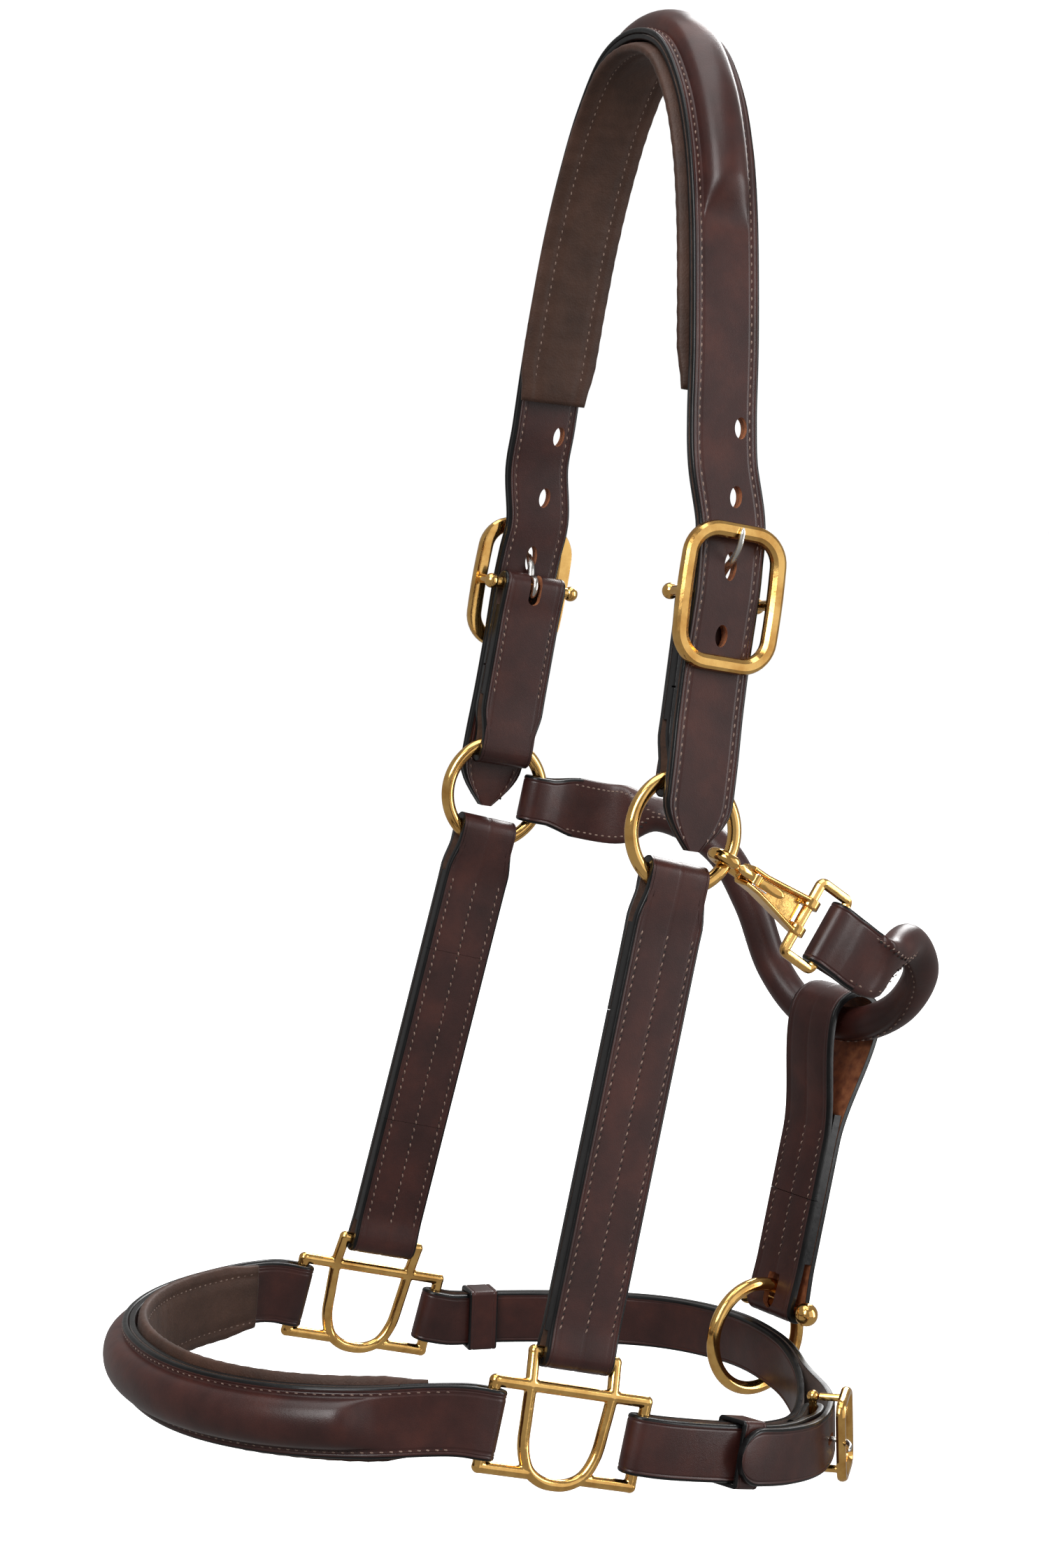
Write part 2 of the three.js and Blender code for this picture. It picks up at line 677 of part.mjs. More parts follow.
// A soft lining: flat towards the strap, with rounded edges.
function padSection(width, thickness, lift) {
  const [a, b] = [width / 2, thickness / 2];
  return [
    [-a + 1, lift + b], [-a, lift + b * 0.3], [-a + 0.8, lift - b * 0.6], [-a + 3, lift - b],
    [a - 3, lift - b], [a - 0.8, lift - b * 0.6], [a, lift + b * 0.3], [a - 1, lift + b],
  ];
}

// ---------------------------------------------------------------- noseband

// It leaves each bar square to it, rises a little, and then runs level round the nose.
function nosebandCurve() {
  const slotMiddle = -(SQUARE_MAIN_BAR + SQUARE_ARM) / 2;
  const bar = world(frames[NEAR].cheek, -SQUARE_HALF_WIDTH, slotMiddle, SQUARE_OFFSET);
  const points = [bar, world(frames[NEAR].cheek, -SQUARE_HALF_WIDTH - 8, slotMiddle, SQUARE_OFFSET)];
  const depth = bar.y - NOSE_TIP.y;
  const rise = 3;
  const steps = 7;
  for (let i = 1; i <= steps; i += 1) {
    const angle = (Math.PI / 2) * (i / steps);
    const x = bar.x * Math.cos(angle) ** 0.92;
    const y = bar.y - depth * Math.sin(angle);
    const z = THREE.MathUtils.lerp(bar.z + rise, NOSE_TIP.z, Math.sin(angle));
    points.push(new THREE.Vector3(x, y, z));
  }
  return mirroredCurve(points);
}

const NOSE_APART = (NOSE_LAYER + LAYER_GAP) / 2;
const NOSE_FOLD = SQUARE_BAR + CLEARANCE + NOSE_LAYER / 2;
const NOSE_RAISE_START = 34;

function addNoseband() {
  const ribbon = makeRibbon(nosebandCurve(), (distance, length) => {
    const end = Math.min(distance, length - distance);
    const bar = mirrored(CHEEK_UP, distance < length / 2 ? NEAR : FAR);
    return bar.lerp(new THREE.Vector3(0, 0, 1), smooth(end, 0, 70));
  });
  const { length } = ribbon;
  const fromBar = (distance) => Math.min(distance, length - distance);
  const lift = (distance) => layerOffset(fromBar(distance), NOSE_FOLD, NOSE_APART, 16);
  const arched = (height) => archedSection(NOSE_WIDTH, NOSE_LAYER, height, RAISE_WIDTH, -NOSE_LAYER / 2);
  const flat = arched(0);

  const outer = ribbonStations(ribbon, 0, length, 32, lift,
    (distance) => arched(raiseAt(fromBar(distance), NOSE_RAISE_START)));
  const inner = (from, to) => ribbonStations(ribbon, from, to, 5, (d) => -lift(d), () => flat).map(flip);
  const cover = sweep([
    ...inner(NOSE_FLAP, 0), ...barTurn(outer[0], NOSE_FOLD, -1, flat).reverse(), ...outer,
    ...barTurn(outer.at(-1), NOSE_FOLD, 1, flat), ...inner(length, length - NOSE_FLAP),
  ]);
  addPiece('noseband_cover', cover, 'havana');

  const backing = ribbonStations(ribbon, NOSE_FLAP + 0.5, length - NOSE_FLAP - 0.5, 30, () => -NOSE_APART,
    () => rectangle(NOSE_WIDTH, NOSE_LAYER));
  addPiece('noseband_backing', sweep(backing), 'havana');

  const start = NOSE_RAISE_START + 12;
  const filler = ribbonStations(ribbon, start, length - start, 22, () => NOSE_APART, (distance) => {
    const height = raiseAt(fromBar(distance), NOSE_RAISE_START);
    return ridgeSection(height, RAISE_WIDTH, NOSE_LAYER, -NOSE_LAYER / 2);
  });
  addPiece('noseband_filler', sweep(filler), 'core');

  const liningStart = 19;
  const liningLift = -(NOSE_APART + NOSE_LAYER / 2 + LAYER_GAP + NOSE_LINING_THICKNESS / 2);
  const lining = ribbonStations(ribbon, liningStart, length - liningStart, 26, () => liningLift,
    () => padSection(NOSE_LINING_WIDTH, NOSE_LINING_THICKNESS, 0));
  addPiece('noseband_lining', sweep(lining), 'lining');
}

// ---------------------------------------------------------------- chin strap

const CHIN_APART = 1.5; // from the middle of the pair to the middle of each layer
const CHIN_FOLD = SQUARE_BAR + 2 * CLEARANCE + CHIN_LAYER / 2; // loose, so that the strap can tilt on the bar
const CHIN_BAR = 1.4;
const CHIN_BAR_LIFT = 3.9;
const CHIN_CHAPE_FOLD = CHIN_BAR + CLEARANCE + CHIN_LAYER / 2;
const CHIN_BUCKLE_AT = 89; // along the strap from the near square
const CHIN_FLAP = 19;
const CHIN_TIP_AT = 34;
const CHIN_BILLET_LIFT = 8.9;
const CHIN_BUCKLE_WIDTH = 30;
const CHIN_BUCKLE_LENGTH = 20;
const CHIN_BAND = 3.4;
const CHIN_STANDOFF = 10.6;

// The middle of the doubled strap, from the near square round the chin to the far square.
function chinCurve() {
  const slotMiddle = -(SQUARE_MAIN_BAR + SQUARE_ARM) / 2;
  const bar = (side, x) => world(frames[side].cheek, x, slotMiddle, SQUARE_OFFSET);
  const round = [
    [83.5, -18, -459.5], [74, 5.5, -465], [61.5, 23, -467], [42, 36.4, -462.5], [20, 42.2, -456.5], [0, 41, -453],
    [-27, 38.5, -453.5], [-54, 27, -454.5], [-76, 4, -455.5], [-86, -22, -455],
  ].map((p) => new THREE.Vector3(...p));
  const farX = -SQUARE_HALF_WIDTH;
  const points = [
    bar(NEAR, SQUARE_HALF_WIDTH), bar(NEAR, SQUARE_HALF_WIDTH + 8), ...round, bar(FAR, farX - 8), bar(FAR, farX),
  ];
  return new THREE.CatmullRomCurve3(points, false, 'centripetal');
}

// The width runs downwards, so that each lift is away from the chin.
const chin = makeRibbon(chinCurve(), (distance, length) => {
  const side = distance < length / 2 ? NEAR : FAR;
  const level = smooth(Math.min(distance, length - distance), 0, 50);
  return mirrored(CHEEK_UP, side).lerp(new THREE.Vector3(0, 0, 1), level).negate();
});

function chinLayers() {
  const { length } = chin;
  const buckle = CHIN_BUCKLE_AT;
  const atBar = (d) => 1 - smooth(Math.abs(d - buckle), 2, 14);
  const innerLift = (d) => -Math.max(
    layerOffset(d, CHIN_FOLD, CHIN_APART, 42), layerOffset(length - d, CHIN_FOLD, CHIN_APART, 30));
  const outerNear = (d) => {
    const away = THREE.MathUtils.lerp(CHIN_FOLD, CHIN_APART + CHIN_LAYER + LAYER_GAP, smooth(d, 0, 60));
    return THREE.MathUtils.lerp(away, CHIN_BAR_LIFT + CHIN_CHAPE_FOLD, atBar(d));
  };
  const flap = (d) => THREE.MathUtils.lerp(CHIN_APART, CHIN_BAR_LIFT - CHIN_CHAPE_FOLD, atBar(d));
  const billet = (d) => {
    const overBar = CHIN_BAR_LIFT + CHIN_CHAPE_FOLD + CHIN_LAYER + LAYER_GAP;
    const buckled = THREE.MathUtils.lerp(CHIN_BILLET_LIFT, overBar, smooth(d, buckle - 20, buckle));
    const free = layerOffset(length - d, CHIN_FOLD, CHIN_APART, 30);
    return THREE.MathUtils.lerp(buckled, free, smooth(d, buckle + 4, buckle + 34));
  };
  return { innerLift, outerNear, flap, billet };
}

function chinFrame(distance, lift) {
  const [station] = ribbonStations(chin, distance, distance + 1, 1, () => lift, () => []);
  return sideFrame(station.point, station.along.clone(), station.out);
}

function chinTipSection(distance) {
  const fromTip = distance - CHIN_TIP_AT;
  const radius = CHIN_WIDTH / 2;
  const reach = Math.min(fromTip, radius);
  const half = Math.max(Math.sqrt(radius ** 2 - (radius - reach) ** 2), 2);
  return rectangle(2 * half, CHIN_LAYER);
}

function addChinStrap() {
  const { length } = chin;
  const { innerLift, outerNear, flap, billet } = chinLayers();
  const flat = rectangle(CHIN_WIDTH, CHIN_LAYER);
  const layer = (from, to, count, lift, section = () => flat) => (
    ribbonStations(chin, from, to, count, lift, section));
  const tip = layer(CHIN_TIP_AT, CHIN_TIP_AT + 10, 5, billet, chinTipSection);
  const outer = layer(CHIN_TIP_AT + 12, length, 36, billet);
  const inner = layer(length, 0, 40, innerLift).map(flip);
  const near = layer(0, CHIN_BUCKLE_AT, 14, outerNear);
  const bar = { ...near.at(-1) };
  const chapeTurn = barTurn(bar, CHIN_CHAPE_FOLD, 1, flat);
  const flapEnd = layer(CHIN_BUCKLE_AT, CHIN_BUCKLE_AT - CHIN_FLAP, 5, flap).map(flip);
  const strap = sweep([
    ...tip, ...outer, ...barTurn(outer.at(-1), CHIN_FOLD, 1, flat), ...inner,
    ...barTurn(near[0], CHIN_FOLD, -1, flat).reverse(), ...near, ...chapeTurn, ...flapEnd,
  ]);
  const frame = chinFrame(CHIN_BUCKLE_AT, CHIN_BAR_LIFT);
  const slot = block(3.4, 10.5, 8.6, 0, -1, 0.05).applyMatrix4(frame.matrixWorld);
  const hole = ovalCutter(3.6, 7.2, 3.8, -4.4, 5.9).applyMatrix4(frame.matrixWorld);
  addPiece('chin_strap', cut(strap, [slot, hole]), 'havana');
  return frame;
}

function addChinBuckle(frame) {
  const half = (CHIN_BUCKLE_WIDTH - CHIN_BAND) / 2;
  const ballRadius = 2.1;
  const band = bandFrame(CHIN_BUCKLE_WIDTH, CHIN_BUCKLE_LENGTH, 4, CHIN_BAND, CHIN_BAND);
  band.translate(0, 0, CHIN_STANDOFF);
  const lugs = [-half, half].map((x) => rod(
    new THREE.Vector3(x, 0, ballRadius + CLEARANCE), new THREE.Vector3(x, 0, CHIN_STANDOFF), 1.3));
  addPiece('chin_buckle_frame', join([band, ...lugs]), 'brass', frame);

  const [left, right] = [-half, half].map((x) => new THREE.Vector3(x, 0, 0));
  const bar = join([rod(left, right, CHIN_BAR), ball(left, ballRadius, 8), ball(right, ballRadius, 8)]);
  addPiece('chin_buckle_bar', bar, 'brass', frame);

  const shank = [[-1.8, 2.2], [-3, 4], [-4.4, 7], [-5.2, 11.6], [-8.2, 13.7], [-12.4, 13.7]];
  const wireRadius = 0.9;
  const tongue = join([
    new THREE.TorusGeometry(2.7, wireRadius, 6, 10).rotateY(Math.PI / 2),
    wire(shank.map(([y, z]) => new THREE.Vector3(0, y, z)), wireRadius, 6, false, 9),
  ]);
  addPiece('chin_buckle_tongue', tongue, 'steel', frame);
}

// A runner: a flat leather band round the layers of the strap.
function addChinKeeper(name, distance, low, high) {
  const frame = chinFrame(distance, 0);
  const length = 11;
  const wall = 1.4;
  const middle = (low + high) / 2;
  const width = CHIN_WIDTH + 2 * CLEARANCE;
  const outer = block(width + 2 * wall, length, high - low + 2 * wall, 0, 0, middle);
  const inner = block(width, length + 2, high - low, 0, 0, middle);
  addPiece(name, cut(outer, [inner]), 'havana', frame);
}

// ---------------------------------------------------------------- throat

// A group at the snap hook's bend. Its y runs along the snap, away from the ring, and z points to the horse.
function snapFrame() {
  const angle = radians(SNAP_ANGLE);
  const along = new THREE.Vector3(-0.165, Math.cos(angle) * 0.986, Math.sin(angle) * 0.986);
  const reach = new THREE.Vector3(0, Math.cos(angle), Math.sin(angle)).multiplyScalar(RING_RADIUS);
  reach.x = -reach.z * Math.tan(radians(RING_TILT));
  return sideFrame(ringCentre(NEAR).add(reach), along, new THREE.Vector3(-1, 0, 0));
}

const snap = snapFrame();
const HOOK_RADIUS = 4.9;
const HOOK_WIRE = 2.1;
const SNAP_PIN = new THREE.Vector3(0, 11.6, -3.2);
const SNAP_PIN_RADIUS = 0.9;

// A channel, open on the outer side, whose width and depth change along it.
function channel(stops) {
  const wall = 1.6;
  const stations = stops.map(([y, half, low]) => ({
    point: new THREE.Vector3(0, y, 0),
    across: new THREE.Vector3(1, 0, 0),
    out: new THREE.Vector3(0, 0, 1),
    section: [
      [-half, low], [-half + wall, low], [-half + wall, 1.4], [half - wall, 1.4],
      [half - wall, low], [half, low], [half, 3.4], [-half, 3.4],
    ],
  }));
  return sweep(stations);
}

function addSnap() {
  const hook = [new THREE.Vector3(0, 15, 3.3), new THREE.Vector3(0, 10, 3.6), new THREE.Vector3(0, 5, 4.4)];
  for (let degrees = 80; degrees <= 275; degrees += 28) {
    const angle = radians(degrees);
    hook.push(new THREE.Vector3(0, HOOK_RADIUS * Math.cos(angle), HOOK_RADIUS * Math.sin(angle)));
  }
  const knuckleX = 5;
  const x = (value) => new THREE.Vector3(value, 0, 0);
  const knuckles = [-knuckleX, knuckleX].map((middle) => (
    rod(x(middle - 1.6), x(middle + 1.6), 3.3, 12).translate(0, SNAP_LENGTH, 0)));
  const body = join([
    wire(hook, HOOK_WIRE, 8, false, 20),
    channel([[8.5, 3.6, -4.6], [15, 3.8, -4.4], [36, 6.6, -2.4]]),
    ...knuckles,
  ]);
  const bore = rod(x(-9), x(9), SNAP_WIRE + CLEARANCE, 12).translate(0, SNAP_LENGTH, 0);
  const pinHole = rod(x(-6), x(6), SNAP_PIN_RADIUS + CLEARANCE, 8).translate(...SNAP_PIN.toArray());
  addPiece('snap_body', cut(body, [bore, pinHole]), 'brass', snap);

  const pin = rod(x(-3.5), x(3.5), SNAP_PIN_RADIUS, 8).translate(...SNAP_PIN.toArray());
  addPiece('snap_pin', pin, 'steel', snap);

  const gateSection = rectangle(3, 1.8);
  const gatePath = [[1.9, -4.9], [7, -4.2], [11.6, -3.4], [16, -5], [22, -7.2]];
  const lever = sweep(gatePath.map(([y, z], i) => {
    const last = gatePath.length - 1;
    const [before, after] = [gatePath[Math.max(i - 1, 0)], gatePath[Math.min(i + 1, last)]];
    const along = new THREE.Vector2(after[0] - before[0], after[1] - before[1]).normalize();
    return {
      point: new THREE.Vector3(0, y, z),
      across: new THREE.Vector3(1, 0, 0),
      out: new THREE.Vector3(0, -along.y, along.x),
      section: gateSection,
    };
  }));
  const boss = rod(x(-1.5), x(1.5), 2.2, 10).translate(...SNAP_PIN.toArray());
  addPiece('snap_gate', cut(join([lever, boss]), [pinHole]), 'brass', snap);

  const leafPath = [[21, 0.8], [13, 0.3], [10, -0.4], [8.4, -1.3]];
  const leaf = sweep(leafPath.map(([y, z]) => ({
    point: new THREE.Vector3(0, y, z),
    across: new THREE.Vector3(1, 0, 0),
    out: new THREE.Vector3(0, 0, 1),
    section: rectangle(2.6, 0.5),
  })));
  addPiece('snap_spring', leaf, 'steel', snap);

  const wireWidth = 2 * SNAP_WIRE;
  const loop = bandFrame(SNAP_LOOP_WIDTH, SNAP_LOOP_LENGTH + wireWidth, 1.6, wireWidth, wireWidth);
  loop.translate(0, SNAP_LENGTH + SNAP_LOOP_LENGTH / 2, 0);
  addPiece('snap_loop', loop, 'brass', snap);
}

const TAB_DIRECTION = new THREE.Vector3(0, Math.cos(radians(-12)), Math.sin(radians(-12)));
const TAB_APART = (LEATHER + LAYER_GAP) / 2;
const TAB_FOLD_LENGTH = 15;
const FAR_ROLL_START = 50; // along the throat latch from the far ring's wire
const NEAR_ROLL_END = 34; // back from the snap's loop
const ROUNDING = 16; // the length in which a tab becomes round

// The middle of the throat latch, from the far ring's wire round the throat to the snap's loop.
function throatCurve() {
  const ring = ringCentre(FAR);
  const fold = foldReach(TAB_WIDTH_AT_RING) + RING_WIRE + CLEARANCE;
  const fromRing = (distance, inward) => (
    ring.clone().addScaledVector(TAB_DIRECTION, distance).add(new THREE.Vector3(inward, 0, 0)));
  const wireLean = fold * Math.sin(radians(12)) * Math.tan(radians(RING_TILT));
  const points = [
    fromRing(fold, -wireLean), fromRing(fold + 12, -wireLean + 0.6), fromRing(fold + 28, 6),
    [-55, 32, -266], [-42, 46, -277], [-33, 54, -296], [-26, 60, -319], [-14, 66, -333], [0, 71, -336.4],
    [14, 76, -335], [29, 81, -327], [44, 80, -312.5], [55, 68, -300],
  ].map((p) => (Array.isArray(p) ? new THREE.Vector3(...p) : p));
  const end = SNAP_LENGTH + SNAP_LOOP_LENGTH;
  points.push(world(snap, 0, end + 20, -4.5), world(snap, 0, end + 9, -0.6), world(snap, 0, end, 0));
  return new THREE.CatmullRomCurve3(points, false, 'centripetal');
}

const throat = makeRibbon(throatCurve(), (distance, length) => {
  const far = new THREE.Vector3(Math.tan(radians(RING_TILT)), -TAB_DIRECTION.z, TAB_DIRECTION.y);
  const nearEnd = world(snap, 1, 0, 0).sub(world(snap, 0, 0, 0));
  return far.lerp(nearEnd, smooth(distance, length * 0.35, length * 0.75));
});

// A section with twelve corners that passes from a flat tab, at 0, to a round roll, at 1.
function tabSection(width, thickness, roundness) {
  const corners = 12;
  return Array.from({ length: corners }, (_, k) => {
    const angle = (2 * Math.PI * (k + 0.5)) / corners;
    const [c, s] = [Math.cos(angle), Math.sin(angle)];
    const scale = 1 / Math.max(Math.abs(c), Math.abs(s));
    const flat = [(c * scale * width) / 2, (s * scale * thickness) / 2];
    return [
      THREE.MathUtils.lerp(flat[0], c * ROLL_RADIUS, roundness),
      THREE.MathUtils.lerp(flat[1], s * ROLL_RADIUS, roundness),
    ];
  });
}

// A tab: the strap comes round the bar and lies on itself, and then rolls up.
function throatTab(from, direction, foldRadius, widthAtBar, rollStart) {
  const { length } = throat;
  const at = (distance) => (direction > 0 ? from + distance : length - distance);
  const lift = (distance) => layerOffset(Math.abs(distance - at(0)), foldRadius, TAB_APART, TAB_FOLD_LENGTH);
  const section = (distance) => {
    const width = THREE.MathUtils.lerp(widthAtBar, TAB_WIDTH, smooth(Math.abs(distance - at(0)), 4, 18));
    return rectangle(width, LEATHER);
  };
  const [bar, end] = [at(0), at(TAB_FOLD_LENGTH + 3)];
  const upper = ribbonStations(throat, end, bar, 5, lift, section);
  const lower = ribbonStations(throat, bar, end, 5, (d) => -lift(d), section).map(flip);
  const turn = barTurn(upper.at(-1), foldRadius, -direction, section(bar));
  const fold = sweep([...upper, ...turn, ...lower]);
  const flatThickness = 2 * LEATHER + LAYER_GAP;
  const body = ribbonStations(throat, at(TAB_FOLD_LENGTH + 1), at(rollStart + 3), 7, () => 0, (distance) => {
    const roundness = smooth(Math.abs(distance - at(0)), rollStart - ROUNDING, rollStart);
    return tabSection(TAB_WIDTH, flatThickness, roundness);
  });
  return [fold, sweep(body)];
}

// The roll is a strip closed round its core, with the seam's edges just apart.
function rollSection() {
  const sides = 7;
  const halfSlit = 0.05;
  const arc = (radius, reverse) => Array.from({ length: sides + 1 }, (_, k) => {
    const part = reverse ? 1 - k / sides : k / sides;
    const angle = THREE.MathUtils.lerp(halfSlit, 2 * Math.PI - halfSlit, part);
    return [-radius * Math.cos(angle), -radius * Math.sin(angle)];
  });
  return [...arc(ROLL_RADIUS, false), ...arc(ROLL_CORE_RADIUS + 3 * CLEARANCE, true)];
}

function addThroatLatch() {
  const { length } = throat;
  const roll = ribbonStations(throat, FAR_ROLL_START, length - NEAR_ROLL_END, 24, () => 0, rollSection);
  const farTab = throatTab(0, 1, RING_FOLD, TAB_WIDTH_AT_RING, FAR_ROLL_START);
  const nearFold = SNAP_WIRE + CLEARANCE + LEATHER / 2;
  const nearTab = throatTab(0, -1, nearFold, TAB_WIDTH, NEAR_ROLL_END);
  addPiece('throat_roll', join([sweep(roll), ...farTab, ...nearTab]), 'havana');

  const core = ribbonStations(throat, FAR_ROLL_START + 4, length - NEAR_ROLL_END - 4, 24, () => 0,
    () => circle(ROLL_CORE_RADIUS, 6));
  addPiece('throat_core', sweep(core), 'core');
}

// ---------------------------------------------------------------- throat strap, bolt and chin ring

function throatStrapFrame() {
  const turn = radians(THROAT_STRAP_TURN);
  const up = ROLL_BOTTOM.clone().sub(BOLT_CENTRE).normalize();
  return sideFrame(BOLT_CENTRE, up, new THREE.Vector3(Math.sin(turn), -Math.cos(turn), 0));
}

function addThroatStrap() {
  const frame = throatStrapFrame();
  const rise = ROLL_BOTTOM.distanceTo(BOLT_CENTRE);
  const loop = 10.6;
  const top = { y: rise + 1, radius: loop, easing: 44 };
  const bottom = { y: 0, radius: BOLT_RADIUS + CLEARANCE + LEATHER / 2, easing: 16 };
  const splice = 40;
  const path = doubleFold({
    top, bottom, side: 1, firstEnd: splice + 0.2, lastEnd: splice - 0.2, apart: CHEEK_APART,
  });
  const strap = bentStrap(path, () => THROAT_STRAP_WIDTH, LEATHER);
  const swing = radians(CHIN_RING_SWING);
  const wireHeight = BOLT_RADIUS + CLEARANCE + RING_WIRE;
  const slit = block(2 * RING_WIRE + 1.2, 2 * RING_WIRE + 2.6, 18, 0, wireHeight, 0).rotateX(-swing);
  addPiece('throat_strap', cut(strap, [slit]), 'havana', frame);

  const [low, high] = [17, rise - loop - 22];
  const filler = block(THROAT_STRAP_WIDTH - 1, high - low, LEATHER - LAYER_GAP, 0, (low + high) / 2, 0);
  addPiece('throat_strap_filler', filler, 'core', frame);

  const ballX = THROAT_STRAP_WIDTH / 2 + BOLT_BALL;
  const [left, right] = [-ballX, ballX].map((x) => new THREE.Vector3(x, 0, 0));
  const bolt = join([rod(left, right, BOLT_RADIUS), ball(left, BOLT_BALL), ball(right, BOLT_BALL)]);
  addPiece('chin_ring_bolt', bolt, 'brass', frame);

  const hang = CHIN_RING_RADIUS - RING_WIRE - BOLT_RADIUS - CLEARANCE;
  const ring = addPiece('chin_ring', ringGeometry(CHIN_RING_RADIUS), 'brass', frame);
  ring.position.set(0, -hang * Math.cos(swing), hang * Math.sin(swing));
}

// ---------------------------------------------------------------- the whole

for (const [side, name] of [[NEAR, 'near'], [FAR, 'far']]) {
  addRing(side, `ring_${name}`);
  addCheek(side, name);
  addPiece(`square_${name}`, squareGeometry(), 'brass', frames[side].cheek);
  addChape(side, name);
  addBuckle(side, name);
}
addCrown();
addNoseband();
addChinBuckle(addChinStrap());
addChinKeeper('chin_keeper_near', 41, -3.6, 5.9);
addChinKeeper('chin_keeper_far', chin.length - 20, -4.7, 4.6);
addSnap();
addThroatLatch();
addThroatStrap();

export default headcollar;
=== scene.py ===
"""A leather headcollar in Blender: leather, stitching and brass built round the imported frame.

Sizes are in millimetres, in the frame's own axes, and become metres when a mesh is made.
+X is the horse's near (left) side, -Y points along the nose and +Z is up.
"""

import json
import math
import random
from collections import namedtuple

import bmesh
import bpy
import numpy as np
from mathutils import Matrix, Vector

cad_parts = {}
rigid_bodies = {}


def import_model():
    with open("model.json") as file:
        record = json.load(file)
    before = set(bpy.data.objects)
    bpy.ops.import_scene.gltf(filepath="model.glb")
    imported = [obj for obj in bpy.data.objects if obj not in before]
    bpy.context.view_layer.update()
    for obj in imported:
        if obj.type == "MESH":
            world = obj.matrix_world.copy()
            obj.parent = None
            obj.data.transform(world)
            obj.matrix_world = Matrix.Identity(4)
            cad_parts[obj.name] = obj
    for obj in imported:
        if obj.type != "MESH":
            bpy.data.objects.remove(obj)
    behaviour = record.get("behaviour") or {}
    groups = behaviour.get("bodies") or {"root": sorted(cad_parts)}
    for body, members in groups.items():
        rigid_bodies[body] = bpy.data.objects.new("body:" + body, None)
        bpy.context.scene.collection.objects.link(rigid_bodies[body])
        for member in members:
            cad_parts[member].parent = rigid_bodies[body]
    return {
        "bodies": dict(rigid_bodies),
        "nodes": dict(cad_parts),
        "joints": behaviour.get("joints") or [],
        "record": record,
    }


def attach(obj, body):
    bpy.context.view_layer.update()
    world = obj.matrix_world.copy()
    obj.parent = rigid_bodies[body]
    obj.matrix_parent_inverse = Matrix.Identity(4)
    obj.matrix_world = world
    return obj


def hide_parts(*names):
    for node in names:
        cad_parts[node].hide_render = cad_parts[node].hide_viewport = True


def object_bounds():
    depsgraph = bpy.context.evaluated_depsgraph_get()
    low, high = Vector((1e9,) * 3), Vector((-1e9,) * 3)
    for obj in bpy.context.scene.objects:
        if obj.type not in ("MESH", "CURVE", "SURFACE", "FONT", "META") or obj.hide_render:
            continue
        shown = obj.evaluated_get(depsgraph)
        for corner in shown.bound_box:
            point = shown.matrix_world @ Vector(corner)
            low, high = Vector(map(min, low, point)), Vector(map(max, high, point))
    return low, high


MM = 0.001
NEAR, FAR = 1, -1
SIDES = ((NEAR, "near"), (FAR, "far"))

# ---------------------------------------------------------------- driving dimensions, as in the CAD

CLEARANCE = 0.3
LEATHER = 2.4
LAYER_GAP = 0.3
LINING_GAP = 0.7

RING_CENTRE = (76.3, -29, -256)
RING_RADIUS = 18.6
RING_WIRE = 2.4
WIRE_EASE = 0.1  # rings a little thinner, and their folds a little wider, than in the frame
RING_INSIDE = RING_RADIUS - RING_WIRE
RING_TILT = math.radians(3)

CHEEK_LEAN = (-2.8, 14.2)  # degrees sideways and backward, going up
CHEEK_WIDTH = 24.8
CHEEK_WIDTH_AT_RING = 21
CHEEK_FLAP = 46
SPLICE = 0.1  # between the ends of layers that meet

CHAPE_LEAN = (-3.2, 9.7)
CHAPE_WIDTH = 24
CHAPE_WIDTH_AT_RING = 20
BUCKLE_BAR_HEIGHT = 76
BUCKLE_BAR_RADIUS = 2
BUCKLE_WIDTH = 37
BUCKLE_HEIGHT = 48
BUCKLE_BAND = 5.2
BUCKLE_DEPTH = 4.2
BUCKLE_STANDOFF = 10.9
HOLE_SPACING = 22.6
HOLE_ABOVE_BAR = 10.2
HOLE_WIDTH = 4.3
HOLE_LENGTH = 7.2
WORN_HOLE_LENGTH = 9.4

CROWN_WIDTH = 24
CROWN_LAYER = 1.9
CROWN_LINING_WIDTH = 29
CROWN_LINING_THICKNESS = 4.6
CROWN_RAISE_START = 205
CROWN_LINING_START = 150
PUCKER_PITCH = 6.1
RAISE_HEIGHT = 6.6
RAISE_WIDTH = 14
TIP_LENGTH = 16
TIP_WIDTH = 4

SQUARE_BAR = 2
SQUARE_OFFSET = 2.5
SQUARE_TOP_BAR = 171.2
SQUARE_MAIN_BAR = 181.8
SQUARE_ARM = 209.3
SQUARE_BOTTOM = 212
SQUARE_HALF_SLOT = 14.7
SQUARE_HALF_WIDTH = 27.3
SLOT_MIDDLE = -(SQUARE_MAIN_BAR + SQUARE_ARM) / 2

NOSE_WIDTH = 22.6
NOSE_LAYER = 2.2
NOSE_LINING_WIDTH = 27
NOSE_LINING_THICKNESS = 4.4
NOSE_FLAP = 28
NOSE_TIP = (0, -188, -436.5)
NOSE_RAISE_START = 34

CHIN_WIDTH = 19
CHIN_LAYER = 2.4
CHIN_APART = 1.5
CHIN_BAR = 1.4
CHIN_BAR_LIFT = 3.9
CHIN_BUCKLE_AT = 89
CHIN_FLAP = 19
CHIN_TIP_AT = 34
CHIN_BILLET_LIFT = 8.9
CHIN_BUCKLE_WIDTH = 30
CHIN_BUCKLE_LENGTH = 20
CHIN_BAND = 3.4
CHIN_STANDOFF = 10.6

ROLL_RADIUS = 6.2
ROLL_BOTTOM = (0, 71, -335.6)
TAB_WIDTH = 22
TAB_WIDTH_AT_RING = 17
TAB_LEAN = math.radians(-12)
TAB_FOLD_LENGTH = 15
FAR_ROLL_START = 50
NEAR_ROLL_END = 34

